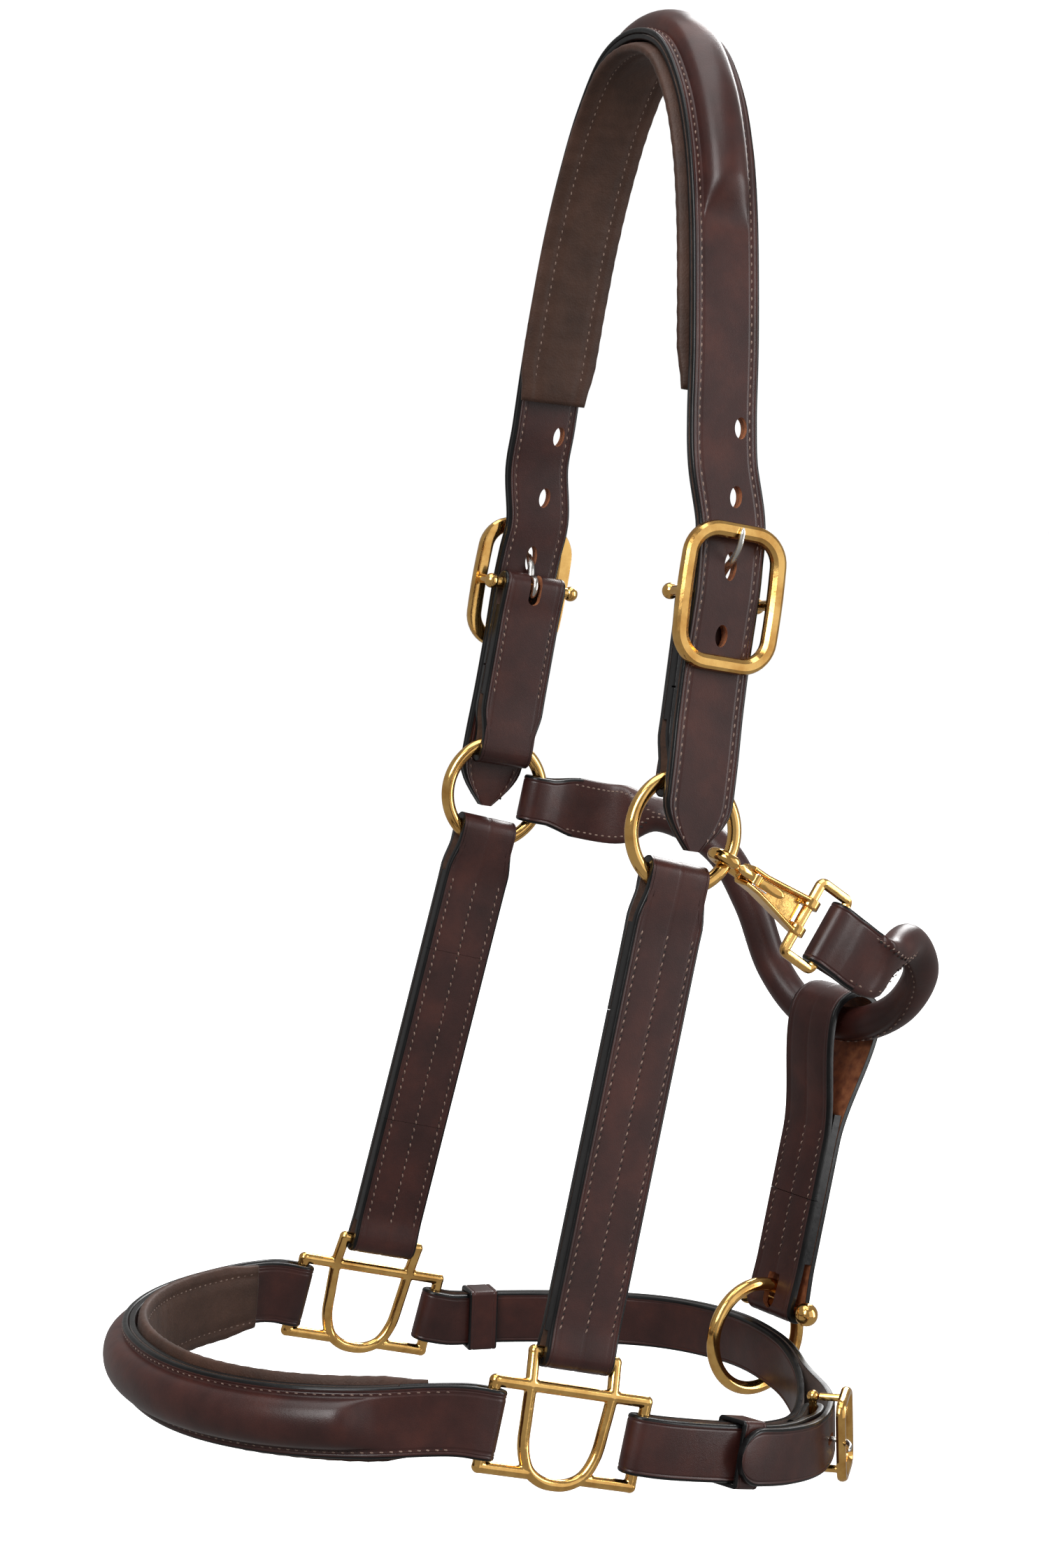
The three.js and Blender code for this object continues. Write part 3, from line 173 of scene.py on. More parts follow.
SNAP_ANGLE = math.radians(-33)
SNAP_LENGTH = 38.4
SNAP_LOOP_WIDTH = 30
SNAP_LOOP_LENGTH = 13.5
SNAP_WIRE = 1.7
HOOK_RADIUS = 4.9
HOOK_WIRE = 2.1

THROAT_STRAP_WIDTH = 24.4
THROAT_STRAP_TURN = math.radians(10)
THROAT_LOOP = 10.6
BOLT_CENTRE = (0, 48.5, -437.1)
BOLT_RADIUS = 2
BOLT_BALL = 4.2
CHIN_RING_RADIUS = 19
CHIN_RING_SWING = math.radians(30)

FOLD_AT_RING = RING_WIRE + CLEARANCE + LEATHER / 2
APART = LEATHER + LAYER_GAP

STITCH_PITCH = 2.9
STITCH_LENGTH = 1.45
STITCH_THICKNESS = 0.56
STITCH_DIP = (1.5, 0.16)  # width and depth of the groove that a row of stitches lies in
CREASE_DIP = (0.55, 0.2)
CREASE_INSET = 1.7
ROW_INSET = 3.1

SPLINE_STEPS = 60
COARSE = 2.2  # spacing of stations along a long strap

# ---------------------------------------------------------------- small maths

Station = namedtuple("Station", "point across out")


def unit(vector):
    vector = np.asarray(vector, float)
    return vector / np.linalg.norm(vector)


def lerp(a, b, t):
    return a + (b - a) * t


def smooth(x, low, high):
    t = min(max((x - low) / (high - low), 0.0), 1.0)
    return t * t * (3 - 2 * t)


def mirrored(vector, side):
    return np.array((vector[0] * side, vector[1], vector[2]), float)


def leaning(sideways, backward):
    a, b = math.radians(sideways), math.radians(backward)
    return np.array((math.sin(a), math.sin(b) * math.cos(a), math.cos(b) * math.cos(a)))


def headings(path, closed=False):
    """The unit direction of a path at each of its points."""
    count = len(path)
    found = []
    for i in range(count):
        before = path[i - 1] if closed or i else path[0]
        after = path[(i + 1) % count] if closed or i + 1 < count else path[-1]
        found.append(unit(np.subtract(after, before)))
    return found


class Frame:
    """Axes on one side of the head: y runs up a strap, x across it and z away from the horse."""

    def __init__(self, origin, up, out):
        self.origin = np.array(origin, float)
        self.y = unit(up)
        self.x = unit(np.cross(self.y, out))
        self.z = unit(np.cross(self.x, self.y))

    def at(self, x, y, z):
        return self.origin + x * self.x + y * self.y + z * self.z

    def station(self, y, z, across=0.0):
        return Station(self.at(across, y, z), self.x, self.z)


def spline_samples(points, steps):
    """Points along a centripetal spline through the given points, the curve that the CAD uses."""
    points = np.array(points, float)
    ends = np.vstack([2 * points[0] - points[1], points, 2 * points[-1] - points[-2]])
    t = np.linspace(0, 1, steps, endpoint=False)[:, None]
    samples = []
    for p0, p1, p2, p3 in zip(ends, ends[1:], ends[2:], ends[3:]):
        d0, d1, d2 = (math.sqrt(np.linalg.norm(b - a)) for a, b in ((p0, p1), (p1, p2), (p2, p3)))
        start = ((p1 - p0) / d0 - (p2 - p0) / (d0 + d1) + (p2 - p1) / d1) * d1
        end = ((p2 - p1) / d1 - (p3 - p1) / (d1 + d2) + (p3 - p2) / d2) * d1
        square = -3 * p1 + 3 * p2 - 2 * start - end
        cube = 2 * p1 - 2 * p2 + start + end
        samples.append(p1 + start * t + square * t**2 + cube * t**3)
    samples.append(points[-1:])
    return np.vstack(samples)


class Ribbon:
    """A curve with the direction of a strap's width at each distance along it."""

    def __init__(self, points, across_at):
        self.samples = spline_samples(points, SPLINE_STEPS)
        gaps = np.linalg.norm(np.diff(self.samples, axis=0), axis=1)
        self.distances = np.concatenate([[0], np.cumsum(gaps)])
        self.length = self.distances[-1]
        self.across_at = across_at

    def point(self, distance):
        return np.array([np.interp(distance, self.distances, axis) for axis in self.samples.T])

    def along(self, distance):
        reach = 0.6
        low, high = max(distance - reach, 0), min(distance + reach, self.length)
        return unit(self.point(high) - self.point(low))

    def station(self, distance, lift=0.0, across=0.0):
        along = self.along(distance)
        width = np.array(self.across_at(distance, self.length), float)
        width = unit(width - along * width.dot(along))
        out = np.cross(width, along)
        return Station(self.point(distance) + lift * out + across * width, width, out)

    def stations(self, start, end, spacing, lift_at=lambda distance: 0.0):
        count = max(2, int(abs(end - start) / spacing))
        return [self.station(d, lift_at(d)) for d in np.linspace(start, end, count + 1)]


def flipped(station):
    return station._replace(out=-station.out)


def bar_turn(station, radius, sign):
    """The half turn of a strap round a bar. sign is +1 past the ribbon's end and -1 before its start."""
    along = np.cross(station.out, station.across)
    centre = station.point - radius * station.out
    turn = []
    for angle in np.linspace(0, math.pi, 13)[1:-1]:
        outward = math.cos(angle) * station.out + sign * math.sin(angle) * along
        turn.append(Station(centre + radius * outward, station.across, outward))
    return turn


# ---------------------------------------------------------------- finishes


class Finish:
    """A material on the Principled shader, built up from noises that are fixed to the piece."""

    def __init__(self, name, **settings):
        self.material = bpy.data.materials.new(name)
        self.material.use_nodes = True
        self.tree = self.material.node_tree
        self.inputs = self.tree.nodes["Principled BSDF"].inputs
        for key, value in settings.items():
            self.inputs[key.replace("_", " ").title().replace("Ior", "IOR")].default_value = value
        self.coords = self.tree.nodes.new("ShaderNodeTexCoord").outputs["Object"]

    def add(self, kind, inputs):
        node = self.tree.nodes.new(kind)
        for key, value in inputs.items():
            if isinstance(value, bpy.types.NodeSocket):
                self.tree.links.new(value, node.inputs[key])
            else:
                node.inputs[key].default_value = value
        return node

    def noise(self, scale, detail=4.0, roughness=0.55):
        inputs = {"Vector": self.coords, "Scale": scale, "Detail": detail, "Roughness": roughness}
        return self.add("ShaderNodeTexNoise", inputs).outputs["Fac"]

    def cells(self, scale):
        return self.add("ShaderNodeTexVoronoi", {"Vector": self.coords, "Scale": scale}).outputs["Distance"]

    def product(self, first, second):
        node = self.add("ShaderNodeMath", {0: first, 1: second})
        node.operation = "MULTIPLY"
        return node.outputs[0]

    def bump(self, height, strength, distance, under=None):
        inputs = {"Height": height, "Strength": strength, "Distance": distance}
        if under is not None:
            inputs["Normal"] = under
        return self.add("ShaderNodeBump", inputs).outputs["Normal"]

    def colour(self, value, *stops):
        node = self.add("ShaderNodeValToRGB", {"Fac": value})
        ramp = node.color_ramp
        while len(ramp.elements) < len(stops):
            ramp.elements.new(0.5)
        for element, (position, colour) in zip(ramp.elements, stops):
            element.position = position
            element.color = (*colour, 1)
        self.tree.links.new(node.outputs["Color"], self.inputs["Base Color"])

    def roughness(self, value, low, high):
        node = self.add("ShaderNodeMapRange", {"Value": value, "To Min": low, "To Max": high})
        self.tree.links.new(node.outputs["Result"], self.inputs["Roughness"])

    def relief(self, height, strength, distance, under=None):
        self.tree.links.new(self.bump(height, strength, distance, under), self.inputs["Normal"])


def leather_finish():
    """Waxed leather: clouded dye, a fine grain of pores and faint wrinkles."""
    finish = Finish("havana leather", coat_weight=0.14, coat_roughness=0.24, specular_ior_level=0.32)
    dark, mid, light = (0.021, 0.0062, 0.0052), (0.034, 0.0098, 0.008), (0.056, 0.0155, 0.011)
    finish.colour(finish.noise(55, 5, 0.6), (0.3, dark), (0.5, mid), (0.72, light))
    finish.roughness(finish.noise(150, 3), 0.29, 0.48)
    pores = finish.bump(finish.cells(2600), 0.16, 0.00012)
    finish.relief(finish.noise(700, 6, 0.65), 0.2, 0.00022, pores)
    return finish.material


def edge_finish():
    """The black paint on cut edges, burnished until it shines."""
    finish = Finish("painted edge", coat_weight=0.14, coat_roughness=0.12, specular_ior_level=0.2)
    finish.colour(finish.noise(90, 3), (0.35, (0.0018, 0.0019, 0.0022)), (0.7, (0.0065, 0.0062, 0.0066)))
    finish.roughness(finish.noise(240, 3), 0.2, 0.42)
    finish.relief(finish.noise(420, 4), 0.25, 0.0003)
    return finish.material


def raw_finish():
    """Undyed leather, where a hole or the flesh side shows it."""
    finish = Finish("raw leather")
    finish.colour(finish.noise(300, 5), (0.3, (0.13, 0.035, 0.012)), (0.7, (0.36, 0.13, 0.05)))
    finish.roughness(finish.noise(500, 3), 0.65, 0.9)
    finish.relief(finish.noise(1400, 6, 0.7), 0.5, 0.0003)
    return finish.material


def flesh_finish():
    """The flesh side of a dyed strap: brown, matt and fibrous."""
    finish = Finish("flesh side", sheen_weight=0.15, sheen_roughness=0.5)
    finish.colour(finish.noise(260, 6, 0.7), (0.3, (0.035, 0.017, 0.011)), (0.7, (0.1, 0.05, 0.03)))
    finish.roughness(finish.noise(420, 3), 0.6, 0.85)
    finish.relief(finish.noise(1700, 6, 0.7), 0.4, 0.0003)
    return finish.material


def lining_finish():
    """Soft brown nappa over padding, matt with a fine pebbled grain."""
    finish = Finish("lining nappa", sheen_weight=0.04, sheen_roughness=0.4, specular_ior_level=0.35)
    dark, mid, light = (0.03, 0.0125, 0.007), (0.044, 0.0185, 0.0105), (0.064, 0.028, 0.017)
    finish.colour(finish.noise(70, 5, 0.6), (0.3, dark), (0.5, mid), (0.75, light))
    finish.roughness(finish.noise(300, 3), 0.52, 0.72)
    pebbles = finish.bump(finish.cells(1500), 0.32, 0.0002)
    finish.relief(finish.noise(260, 5, 0.6), 0.3, 0.0008, pebbles)
    return finish.material


def thread_finish():
    """Waxed linen thread, with its twist."""
    finish = Finish("linen thread", sheen_weight=0.2, sheen_roughness=0.4)
    finish.colour(finish.noise(900, 3), (0.3, (0.11, 0.064, 0.048)), (0.7, (0.28, 0.19, 0.15)))
    finish.roughness(finish.noise(1500, 2), 0.5, 0.75)
    twist = finish.add("ShaderNodeTexWave", {"Vector": finish.coords, "Scale": 900.0, "Distortion": 1.0})
    finish.relief(twist.outputs["Fac"], 0.4, 0.0002)
    return finish.material


def prick_shade_finish():
    """The shadow in an awl's hole."""
    finish = Finish("awl hole shade")
    finish.colour(finish.noise(800, 2), (0.3, (0.002, 0.001, 0.001)), (0.7, (0.01, 0.005, 0.004)))
    finish.roughness(finish.noise(900, 2), 0.75, 0.95)
    return finish.material


def metal_finish(name, dull, bright, roughness):
    """Polished metal with the haze and hair lines of handling."""
    finish = Finish(name, metallic=1.0)
    finish.colour(finish.noise(120, 4, 0.6), (0.3, dull), (0.6, bright))
    marks = finish.product(finish.noise(210, 5), finish.noise(1300, 2))
    finish.roughness(marks, roughness - 0.05, roughness + 0.3)
    finish.relief(finish.noise(160, 3), 0.06, 0.0006)
    return finish.material


def make_finishes():
    return {
        "grain": leather_finish(),
        "edge": edge_finish(),
        "raw": raw_finish(),
        "flesh": flesh_finish(),
        "lining": lining_finish(),
        "thread": thread_finish(),
        # painted shade: the awl holes between stitches are near-black lenses, not real holes
        "prick": prick_shade_finish(),
        "brass": metal_finish("polished brass", (0.62, 0.32, 0.085), (0.88, 0.54, 0.175), 0.1),
        "steel": metal_finish("polished steel", (0.42, 0.41, 0.39), (0.66, 0.65, 0.62), 0.2),
    }


# ---------------------------------------------------------------- shapes and pieces


class Shape:
    """The corners and faces gathered for one piece, in millimetres, each face with its finish."""

    def __init__(self):
        self.corners = []
        self.faces = []
        self.finishes = []

    def add(self, corners, faces, finishes):
        first = len(self.corners)
        self.corners.extend(corners)
        self.faces.extend([first + i for i in face] for face in faces)
        self.finishes.extend(finishes)
        return self

    def sweep(self, stations, sections, finishes, closed=False, cap="edge"):
        """A skin through stations. Each section is a list of (across, out) corners, and each of its sides
        has a finish. The ends are closed with flat caps."""
        corners = []
        for station, section in zip(stations, sections):
            section = np.asarray(section)
            corners.extend(station.point + section[:, :1] * station.across + section[:, 1:] * station.out)
        sides = len(sections[0])
        count = len(stations)
        faces = []
        for i in range(count if closed else count - 1):
            j = (i + 1) % count
            for k in range(sides):
                k2 = (k + 1) % sides
                faces.append((i * sides + k, i * sides + k2, j * sides + k2, j * sides + k))
        kinds = list(finishes) * (len(faces) // sides)
        if not closed:
            last = (count - 1) * sides
            faces += [range(sides - 1, -1, -1), range(last, last + sides)]
            kinds += [cap, cap]
        return self.add(corners, faces, kinds)

    def strap(self, stations, section_at, closed=False):
        """A strap: section_at(i) gives each station's corners, and the finish of each side."""
        sections, finishes = zip(*(section_at(i) for i in range(len(stations))))
        return self.sweep(stations, sections, finishes[0], closed)

    def tube(self, points, radius, finish, sides=20, closed=False, radius_at=None):
        stations = tube_stations(points, closed)
        ring = circle(1, 1, sides)
        scale = [radius_at(i / (len(stations) - 1)) if radius_at else radius for i in range(len(stations))]
        return self.sweep(stations, [ring * size for size in scale], [finish] * sides, closed, finish)

    def ball(self, centre, radius):
        rings, sides = 14, 22
        angles = np.linspace(0, math.pi, rings + 1)[1:-1]
        centre = np.array(centre)
        corners = [centre + (0, 0, radius)]
        for angle in angles:
            out, up = radius * math.sin(angle), radius * math.cos(angle)
            for turn in np.linspace(0, 2 * math.pi, sides, endpoint=False):
                corners.append(centre + (out * math.cos(turn), out * math.sin(turn), up))
        corners.append(centre - (0, 0, radius))
        last = len(corners) - 1

        def row(i, k):
            return 1 + i * sides + k % sides

        faces = [(0, row(0, k), row(0, k + 1)) for k in range(sides)]
        for i in range(rings - 2):
            faces += [(row(i, k), row(i + 1, k), row(i + 1, k + 1), row(i, k + 1)) for k in range(sides)]
        faces += [(last, row(rings - 2, k + 1), row(rings - 2, k)) for k in range(sides)]
        return self.add(corners, faces, ["brass"] * len(faces))


def tube_stations(points, closed=False):
    """Stations along a path whose axes turn as little as they can."""
    stations = []
    across = None
    for point, along in zip(points, headings(points, closed)):
        if across is None:
            across = np.cross(along, (0.3, 0.5, 0.8))
        across = unit(across - along * along.dot(across))
        stations.append(Station(np.asarray(point, float), across, np.cross(across, along)))
    return stations


def circle(half_width, half_height, sides, power=2.0):
    """A circle, an ellipse or, with a higher power, a rounded rectangle."""
    turn = (np.arange(sides) + 0.5) * 2 * math.pi / sides
    c, s = np.cos(turn), np.sin(turn)
    a = np.sign(c) * np.abs(c) ** (2 / power) * half_width
    b = np.sign(s) * np.abs(s) ** (2 / power) * half_height
    return np.stack([a, b], axis=1)


def make_mesh(name, shape, finishes):
    mesh = bpy.data.meshes.new(name)
    mesh.from_pydata([tuple(corner * MM) for corner in shape.corners], [], shape.faces)
    used = sorted(set(shape.finishes))
    for finish in used:
        mesh.materials.append(finishes[finish])
    mesh.polygons.foreach_set("material_index", [used.index(finish) for finish in shape.finishes])
    outward = bmesh.new()
    outward.from_mesh(mesh)
    bmesh.ops.recalc_face_normals(outward, faces=outward.faces)
    if outward.calc_volume(signed=True) < 0:
        bmesh.ops.reverse_faces(outward, faces=outward.faces)
    outward.to_mesh(mesh)
    outward.free()
    return mesh


def make_object(name, mesh):
    thing = bpy.data.objects.new(name, mesh)
    bpy.context.scene.collection.objects.link(thing)
    return thing


def apply_modifiers(thing):
    bpy.context.view_layer.update()
    evaluated = thing.evaluated_get(bpy.context.evaluated_depsgraph_get())
    mesh = bpy.data.meshes.new_from_object(evaluated)
    thing.modifiers.clear()
    thing.data = mesh


def carve(thing, shape):
    """Cuts a closed shape out of a piece. The new walls take the shape's finish."""
    cutter = make_object("cutter", make_mesh("cutter", shape, FINISHES))
    cut = thing.modifiers.new("cut", "BOOLEAN")
    cut.object = cutter
    cut.solver = "EXACT"
    cut.operation = "DIFFERENCE"
    cut.material_mode = "TRANSFER"
    apply_modifiers(thing)
    bpy.data.objects.remove(cutter)


def set_shading(thing, crease_angle):
    thing.data.shade_smooth()
    thing.data.set_sharp_from_angle(angle=math.radians(crease_angle))


def make_piece(node, making, shape, body, cuts=None, crease_angle=42):
    """A piece of the headcollar that rides on a body and stands for a node of the frame."""
    name = f"{node}_{making}"
    thing = make_object(name, make_mesh(name, shape, FINISHES))
    if cuts is not None:
        carve(thing, cuts)
    set_shading(thing, crease_angle)
    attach(thing, body)
    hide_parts(node)
    return thing


def make_stitches(name, shape, body):
    """Rows of stitches. They stand for no node, as the frame has none."""
    thing = make_object(name, make_mesh(name, shape, FINISHES))
    set_shading(thing, 42)
    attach(thing, body)


# ---------------------------------------------------------------- sections


def strap_section(width, thickness, rows=(), lift=0.0, back="flesh"):
    """A flat strap with rounded, painted edges. Its face dips along each crease and row of stitches."""
    half, t = width / 2, thickness / 2
    bend = min(t, 0.95)
    angles = np.linspace(0, math.pi / 2, 6)
    right = [(half - 0.15, -t), (half, -t + 0.15)]
    right += [(half - bend + bend * math.cos(a), t - bend + bend * math.sin(a)) for a in angles]
    left = [(-x, b) for x, b in reversed(right)]
    dips = [(x, *STITCH_DIP) for x in rows]
    dips += [(sign * (half - CREASE_INSET), *CREASE_DIP) for sign in (-1, 1)]
    face = []
    for x, spread, depth in sorted(dips, reverse=True):
        shoulder = spread / 2 + 0.3
        face += [(x + shoulder, t), (x + spread / 2, t - 0.02), (x, t - depth)]
        face += [(x - spread / 2, t - 0.02), (x - shoulder, t)]
    edge = ["edge"] * (len(right) - 1)
    return np.array(right + face + left) + (0, lift), edge + ["grain"] * (len(face) + 1) + edge + [back]


def ridge_arch(reach, bottom, height):
    """The corners of a raised middle, from its right foot to its left."""
    turns = np.linspace(0, math.pi, 19)
    return [(reach * math.cos(a), bottom + math.sin(a) ** 0.8 * height) for a in turns]


def arched_section(width, layer, height, bottom):
    """A strap arched over a padded ridge, hollow underneath, with its rows of stitches at the foot."""
    half = width / 2
    top = bottom + layer
    edge = layer / 2
    angles = np.linspace(-math.pi / 2, math.pi / 2, 7)
    right = [(half - 0.9 + 0.9 * math.cos(a), bottom + edge + edge * math.sin(a)) for a in angles]
    foot = RAISE_WIDTH / 2 + layer * 0.45
    row = min(foot + 1.15, half - CREASE_INSET - 0.9)
    crease = half - CREASE_INSET
    dips = [(crease + 0.27, top), (crease, top - 0.2), (crease - 0.27, top)]
    dips += [(row + 0.55, top), (row, top - 0.22), (foot + 0.3, top - 0.08)]
    outside = ridge_arch(foot, top, height)
    inside = ridge_arch(RAISE_WIDTH / 2 - layer * 0.3, bottom, height * 0.99)[::-1]
    left = [(-x, b) for x, b in reversed(right + dips)]
    finishes = ["edge"] * (len(right) - 1) + ["grain"] * (len(dips) * 2 + len(outside) + 1)
    finishes += ["edge"] * (len(right) - 1) + ["flesh"] * (len(inside) + 1)
    return np.array(right + dips + outside + left + inside), finishes


def pad_section(width, thickness):
    """A soft lining: a little flatter towards the strap than towards the horse."""
    corners = circle(width / 2, thickness / 2, 48, power=3.4)
    corners[:, 1] = np.where(corners[:, 1] > 0, corners[:, 1] * 0.98, corners[:, 1])
    return corners


# ---------------------------------------------------------------- stitches


def add_stitch(shape, station, along, length=STITCH_LENGTH, width=STITCH_THICKNESS, slant=0.28):
    """One thread lying in its groove, and a dark lens of painted shade for the awl's hole that it dives
    into.
    """
    along = unit(along + slant * station.across)
    side = unit(np.cross(along, station.out))
    sides = 6
    profile = ((-1.0, 0.25), (-0.62, 0.82), (0.0, 1.0), (0.62, 0.82), (1.0, 0.25))
    corners = []
    for reach, size in profile:
        height = 0.12 - 0.22 * reach**2
        centre = station.point + along * reach * length / 2 + station.out * height
        for turn in np.linspace(0, 2 * math.pi, sides, endpoint=False):
            spoke = math.cos(turn) * side + 0.8 * math.sin(turn) * station.out
            corners.append(centre + size * width / 2 * spoke)
    faces = []
    for i in range(len(profile) - 1):
        for k in range(sides):
            k2 = (k + 1) % sides
            faces.append((i * sides + k, i * sides + k2, (i + 1) * sides + k2, (i + 1) * sides + k))
    last = (len(profile) - 1) * sides
    faces += [range(sides - 1, -1, -1), range(last, last + sides)]
    shape.add(corners, faces, ["thread"] * len(faces))
    add_prick_shade(shape, station.point + along * STITCH_PITCH / 2, along, side, station.out)


def add_prick_shade(shape, centre, along, side, out):
    """A shallow dark lens of painted shade: the shadowed mouth of the hole between two stitches."""
    sides = 8
    reach, half_width, sunk, deep, proud = 0.666, 0.444, 0.12, 0.5, 0.05
    rim = []
    for turn in np.linspace(0, 2 * math.pi, sides, endpoint=False):
        rim.append(centre + reach * math.cos(turn) * along + half_width * math.sin(turn) * side - out * sunk)
    faces = [(k, (k + 1) % sides, sides) for k in range(sides)]
    faces += [((k + 1) % sides, k, sides + 1) for k in range(sides)]
    shape.add(rim + [centre + out * proud, centre - out * deep], faces, ["prick"] * len(faces))


# ---------------------------------------------------------------- frames and folded straps

CHEEK_UP = leaning(*CHEEK_LEAN)
CHAPE_UP = leaning(*CHAPE_LEAN)


def ring_centre(side):
    return mirrored(RING_CENTRE, side)


def side_frames(up):
    return {side: Frame(ring_centre(side), mirrored(up, side), (side, 0, 0)) for side, _ in SIDES}


CHEEK = side_frames(CHEEK_UP)
CHAPE = side_frames(CHAPE_UP)


def fold_reach(width):
    """How far from a ring's centre a straight fold of this width clears the ring's round inside."""
    return math.sqrt(RING_INSIDE**2 - (width / 2) ** 2) - CLEARANCE


def layer_offset(distance, at_bar, apart, easing):
    """Half the distance between the middles of two layers that close up away from a bar."""
    return apart + (at_bar - apart) * (1 - smooth(distance, 0, easing))


Bar = namedtuple("Bar", "y radius easing")


def double_fold(top, bottom, side, first_end, last_end, apart):
    """The (y, z) path of a strap round a bar at its top and a bar at its bottom, its ends on one side."""

    def offset(y):
        near_top = layer_offset(top.y - y, top.radius, apart, top.easing)
        near_bottom = layer_offset(y - bottom.y, bottom.radius, apart, bottom.easing)
        return max(near_top, near_bottom)

    def straight(start, end, sign):
        count = max(3, math.ceil(abs(end - start) / 2.5))
        return [(y, sign * offset(y)) for y in np.linspace(start, end, count + 1)]

    def turn(bar, sign, way):
        angles = np.linspace(0, math.pi, 15)[1:-1]
        return [(bar.y + way * bar.radius * math.sin(a), sign * bar.radius * math.cos(a)) for a in angles]

    return (
        straight(first_end, top.y, side) + turn(top, side, 1) + straight(top.y, bottom.y, -side)
        + turn(bottom, -side, -1) + straight(bottom.y, last_end, side)
    )


def fold_stations(frame, path, side):
    """Stations along a fold, whose out axis points away from what is inside the fold."""
    stations = []
    for (y, z), (dy, dz) in zip(path, headings(path)):
        stations.append(Station(frame.at(0, y, z), frame.x, side * (dy * frame.z - dz * frame.y)))
    return stations


def taper(y, ring_end, at_ring, full):
    return at_ring + (full - at_ring) * smooth(abs(y) - ring_end, 4, 16)


def even_rows(width, count):
    """The places of rows of stitches across a strap, the outer ones along its edges."""
    edge = width / 2 - ROW_INSET
    return tuple(np.linspace(-edge, edge, count))


def folded_strap(stations, widths, rows, thickness=LEATHER):
    return Shape().strap(stations, lambda i: strap_section(widths[i], thickness, rows))


def fill_and_stitch(frame, width, rows, low, high, first_stitch, body, filler_node, stitches_name):
    """The filler inside a fold, its edges painted, and the rows of stitches on both faces of the fold."""
    half, t = (width - 0.5) / 2, APART - LEATHER / 2
    section = [(-half, -t), (half, -t), (half, t), (-half, t)]
    stations = [frame.station(y, 0) for y in np.linspace(low, high, 8)]
    filler = Shape().sweep(stations, [section] * len(stations), ["edge"] * 4)
    make_piece(filler_node, "layer", filler, body)
    stitches = Shape()
    face = APART + LEATHER / 2 - 0.05
    for row in rows:
        for y in np.arange(first_stitch, high, STITCH_PITCH):
            add_stitch(stitches, frame.station(y, face, row), frame.y)
            add_stitch(stitches, flipped(frame.station(y, -face, row)), frame.y)
    make_stitches(stitches_name, stitches, body)


# ---------------------------------------------------------------- rings, squares and buckles


def torus_points(centre, first, second, radius, steps=96):
    turns = np.linspace(0, 2 * math.pi, steps, endpoint=False)
    return [centre + radius * (math.cos(a) * first + math.sin(a) * second) for a in turns]


def build_ring(side, name):
    tilt = -side * RING_TILT
    first = np.array((math.sin(tilt), 0, math.cos(tilt)))
    points = torus_points(ring_centre(side), first, np.array((0, 1, 0)), RING_RADIUS)
    shape = Shape().tube(points, RING_WIRE - WIRE_EASE, "brass", 26, closed=True)
    make_piece(f"ring_{name}", "turned", shape, f"cheek_ring_{name}")


def rod(shape, frame, start, end, radius, finish="brass"):
    """A round bar between two places in a frame."""
    return shape.tube([frame.at(*start), frame.at(*end)], radius, finish, 22)


def cast(node, shape, body, voxel=0.3, passes=5):
    """A casting: its parts melted into one skin with soft fillets."""
    thing = make_piece(node, "casting", shape, body)
    remesh = thing.modifiers.new("skin", "REMESH")
    remesh.mode = "VOXEL"
    remesh.voxel_size = voxel * MM
    remesh.use_smooth_shade = True
    polish = thing.modifiers.new("polish", "SMOOTH")
    polish.factor = 0.6
    polish.iterations = passes
    apply_modifiers(thing)
    thing.data.materials.clear()
    thing.data.materials.append(FINISHES["brass"])


def window_outline():
    """The U of a square's window, from its near arm round the bottom to its far arm."""
    half = SQUARE_HALF_SLOT
    arm = [
        (half, -SQUARE_MAIN_BAR), (half - 0.7, -SQUARE_MAIN_BAR - 10), (half - 1.8, -SQUARE_MAIN_BAR - 20),
        (half - 5, -SQUARE_BOTTOM + 3.6), (half - 10, -SQUARE_BOTTOM + 0.6),
    ]
    return arm + [(0, -SQUARE_BOTTOM)] + [(-x, y) for x, y in reversed(arm)]


def build_square(side, name):
    frame = CHEEK[side]
    face = SQUARE_OFFSET
    bars = [
        ((-SQUARE_HALF_WIDTH, -SQUARE_MAIN_BAR, face), (SQUARE_HALF_WIDTH, -SQUARE_MAIN_BAR, face)),
        ((-SQUARE_HALF_SLOT, -SQUARE_TOP_BAR, 0), (SQUARE_HALF_SLOT, -SQUARE_TOP_BAR, 0)),
    ]
    joints = []
    for way in (-1, 1):
        slot, edge = way * SQUARE_HALF_SLOT, way * SQUARE_HALF_WIDTH
        corner, foot = (edge, -SQUARE_MAIN_BAR, face), (edge, -SQUARE_ARM, face)
        top = (slot, -SQUARE_TOP_BAR, 0)
        bars.append(((slot, -SQUARE_MAIN_BAR, face), top))
        bars.append((corner, foot))
        bars.append((foot, (way * (SQUARE_HALF_SLOT - 5), -SQUARE_ARM, face)))
        joints += [corner, foot, top]
    shape = Shape()
    shape.tube(spline_samples([frame.at(x, y, face) for x, y in window_outline()], 10), SQUARE_BAR, "brass")
    for start, end in bars:
        rod(shape, frame, start, end, SQUARE_BAR)
    for joint in joints:
        shape.ball(frame.at(*joint), SQUARE_BAR + 0.1)
    cast(f"square_{name}", shape, "muzzle")


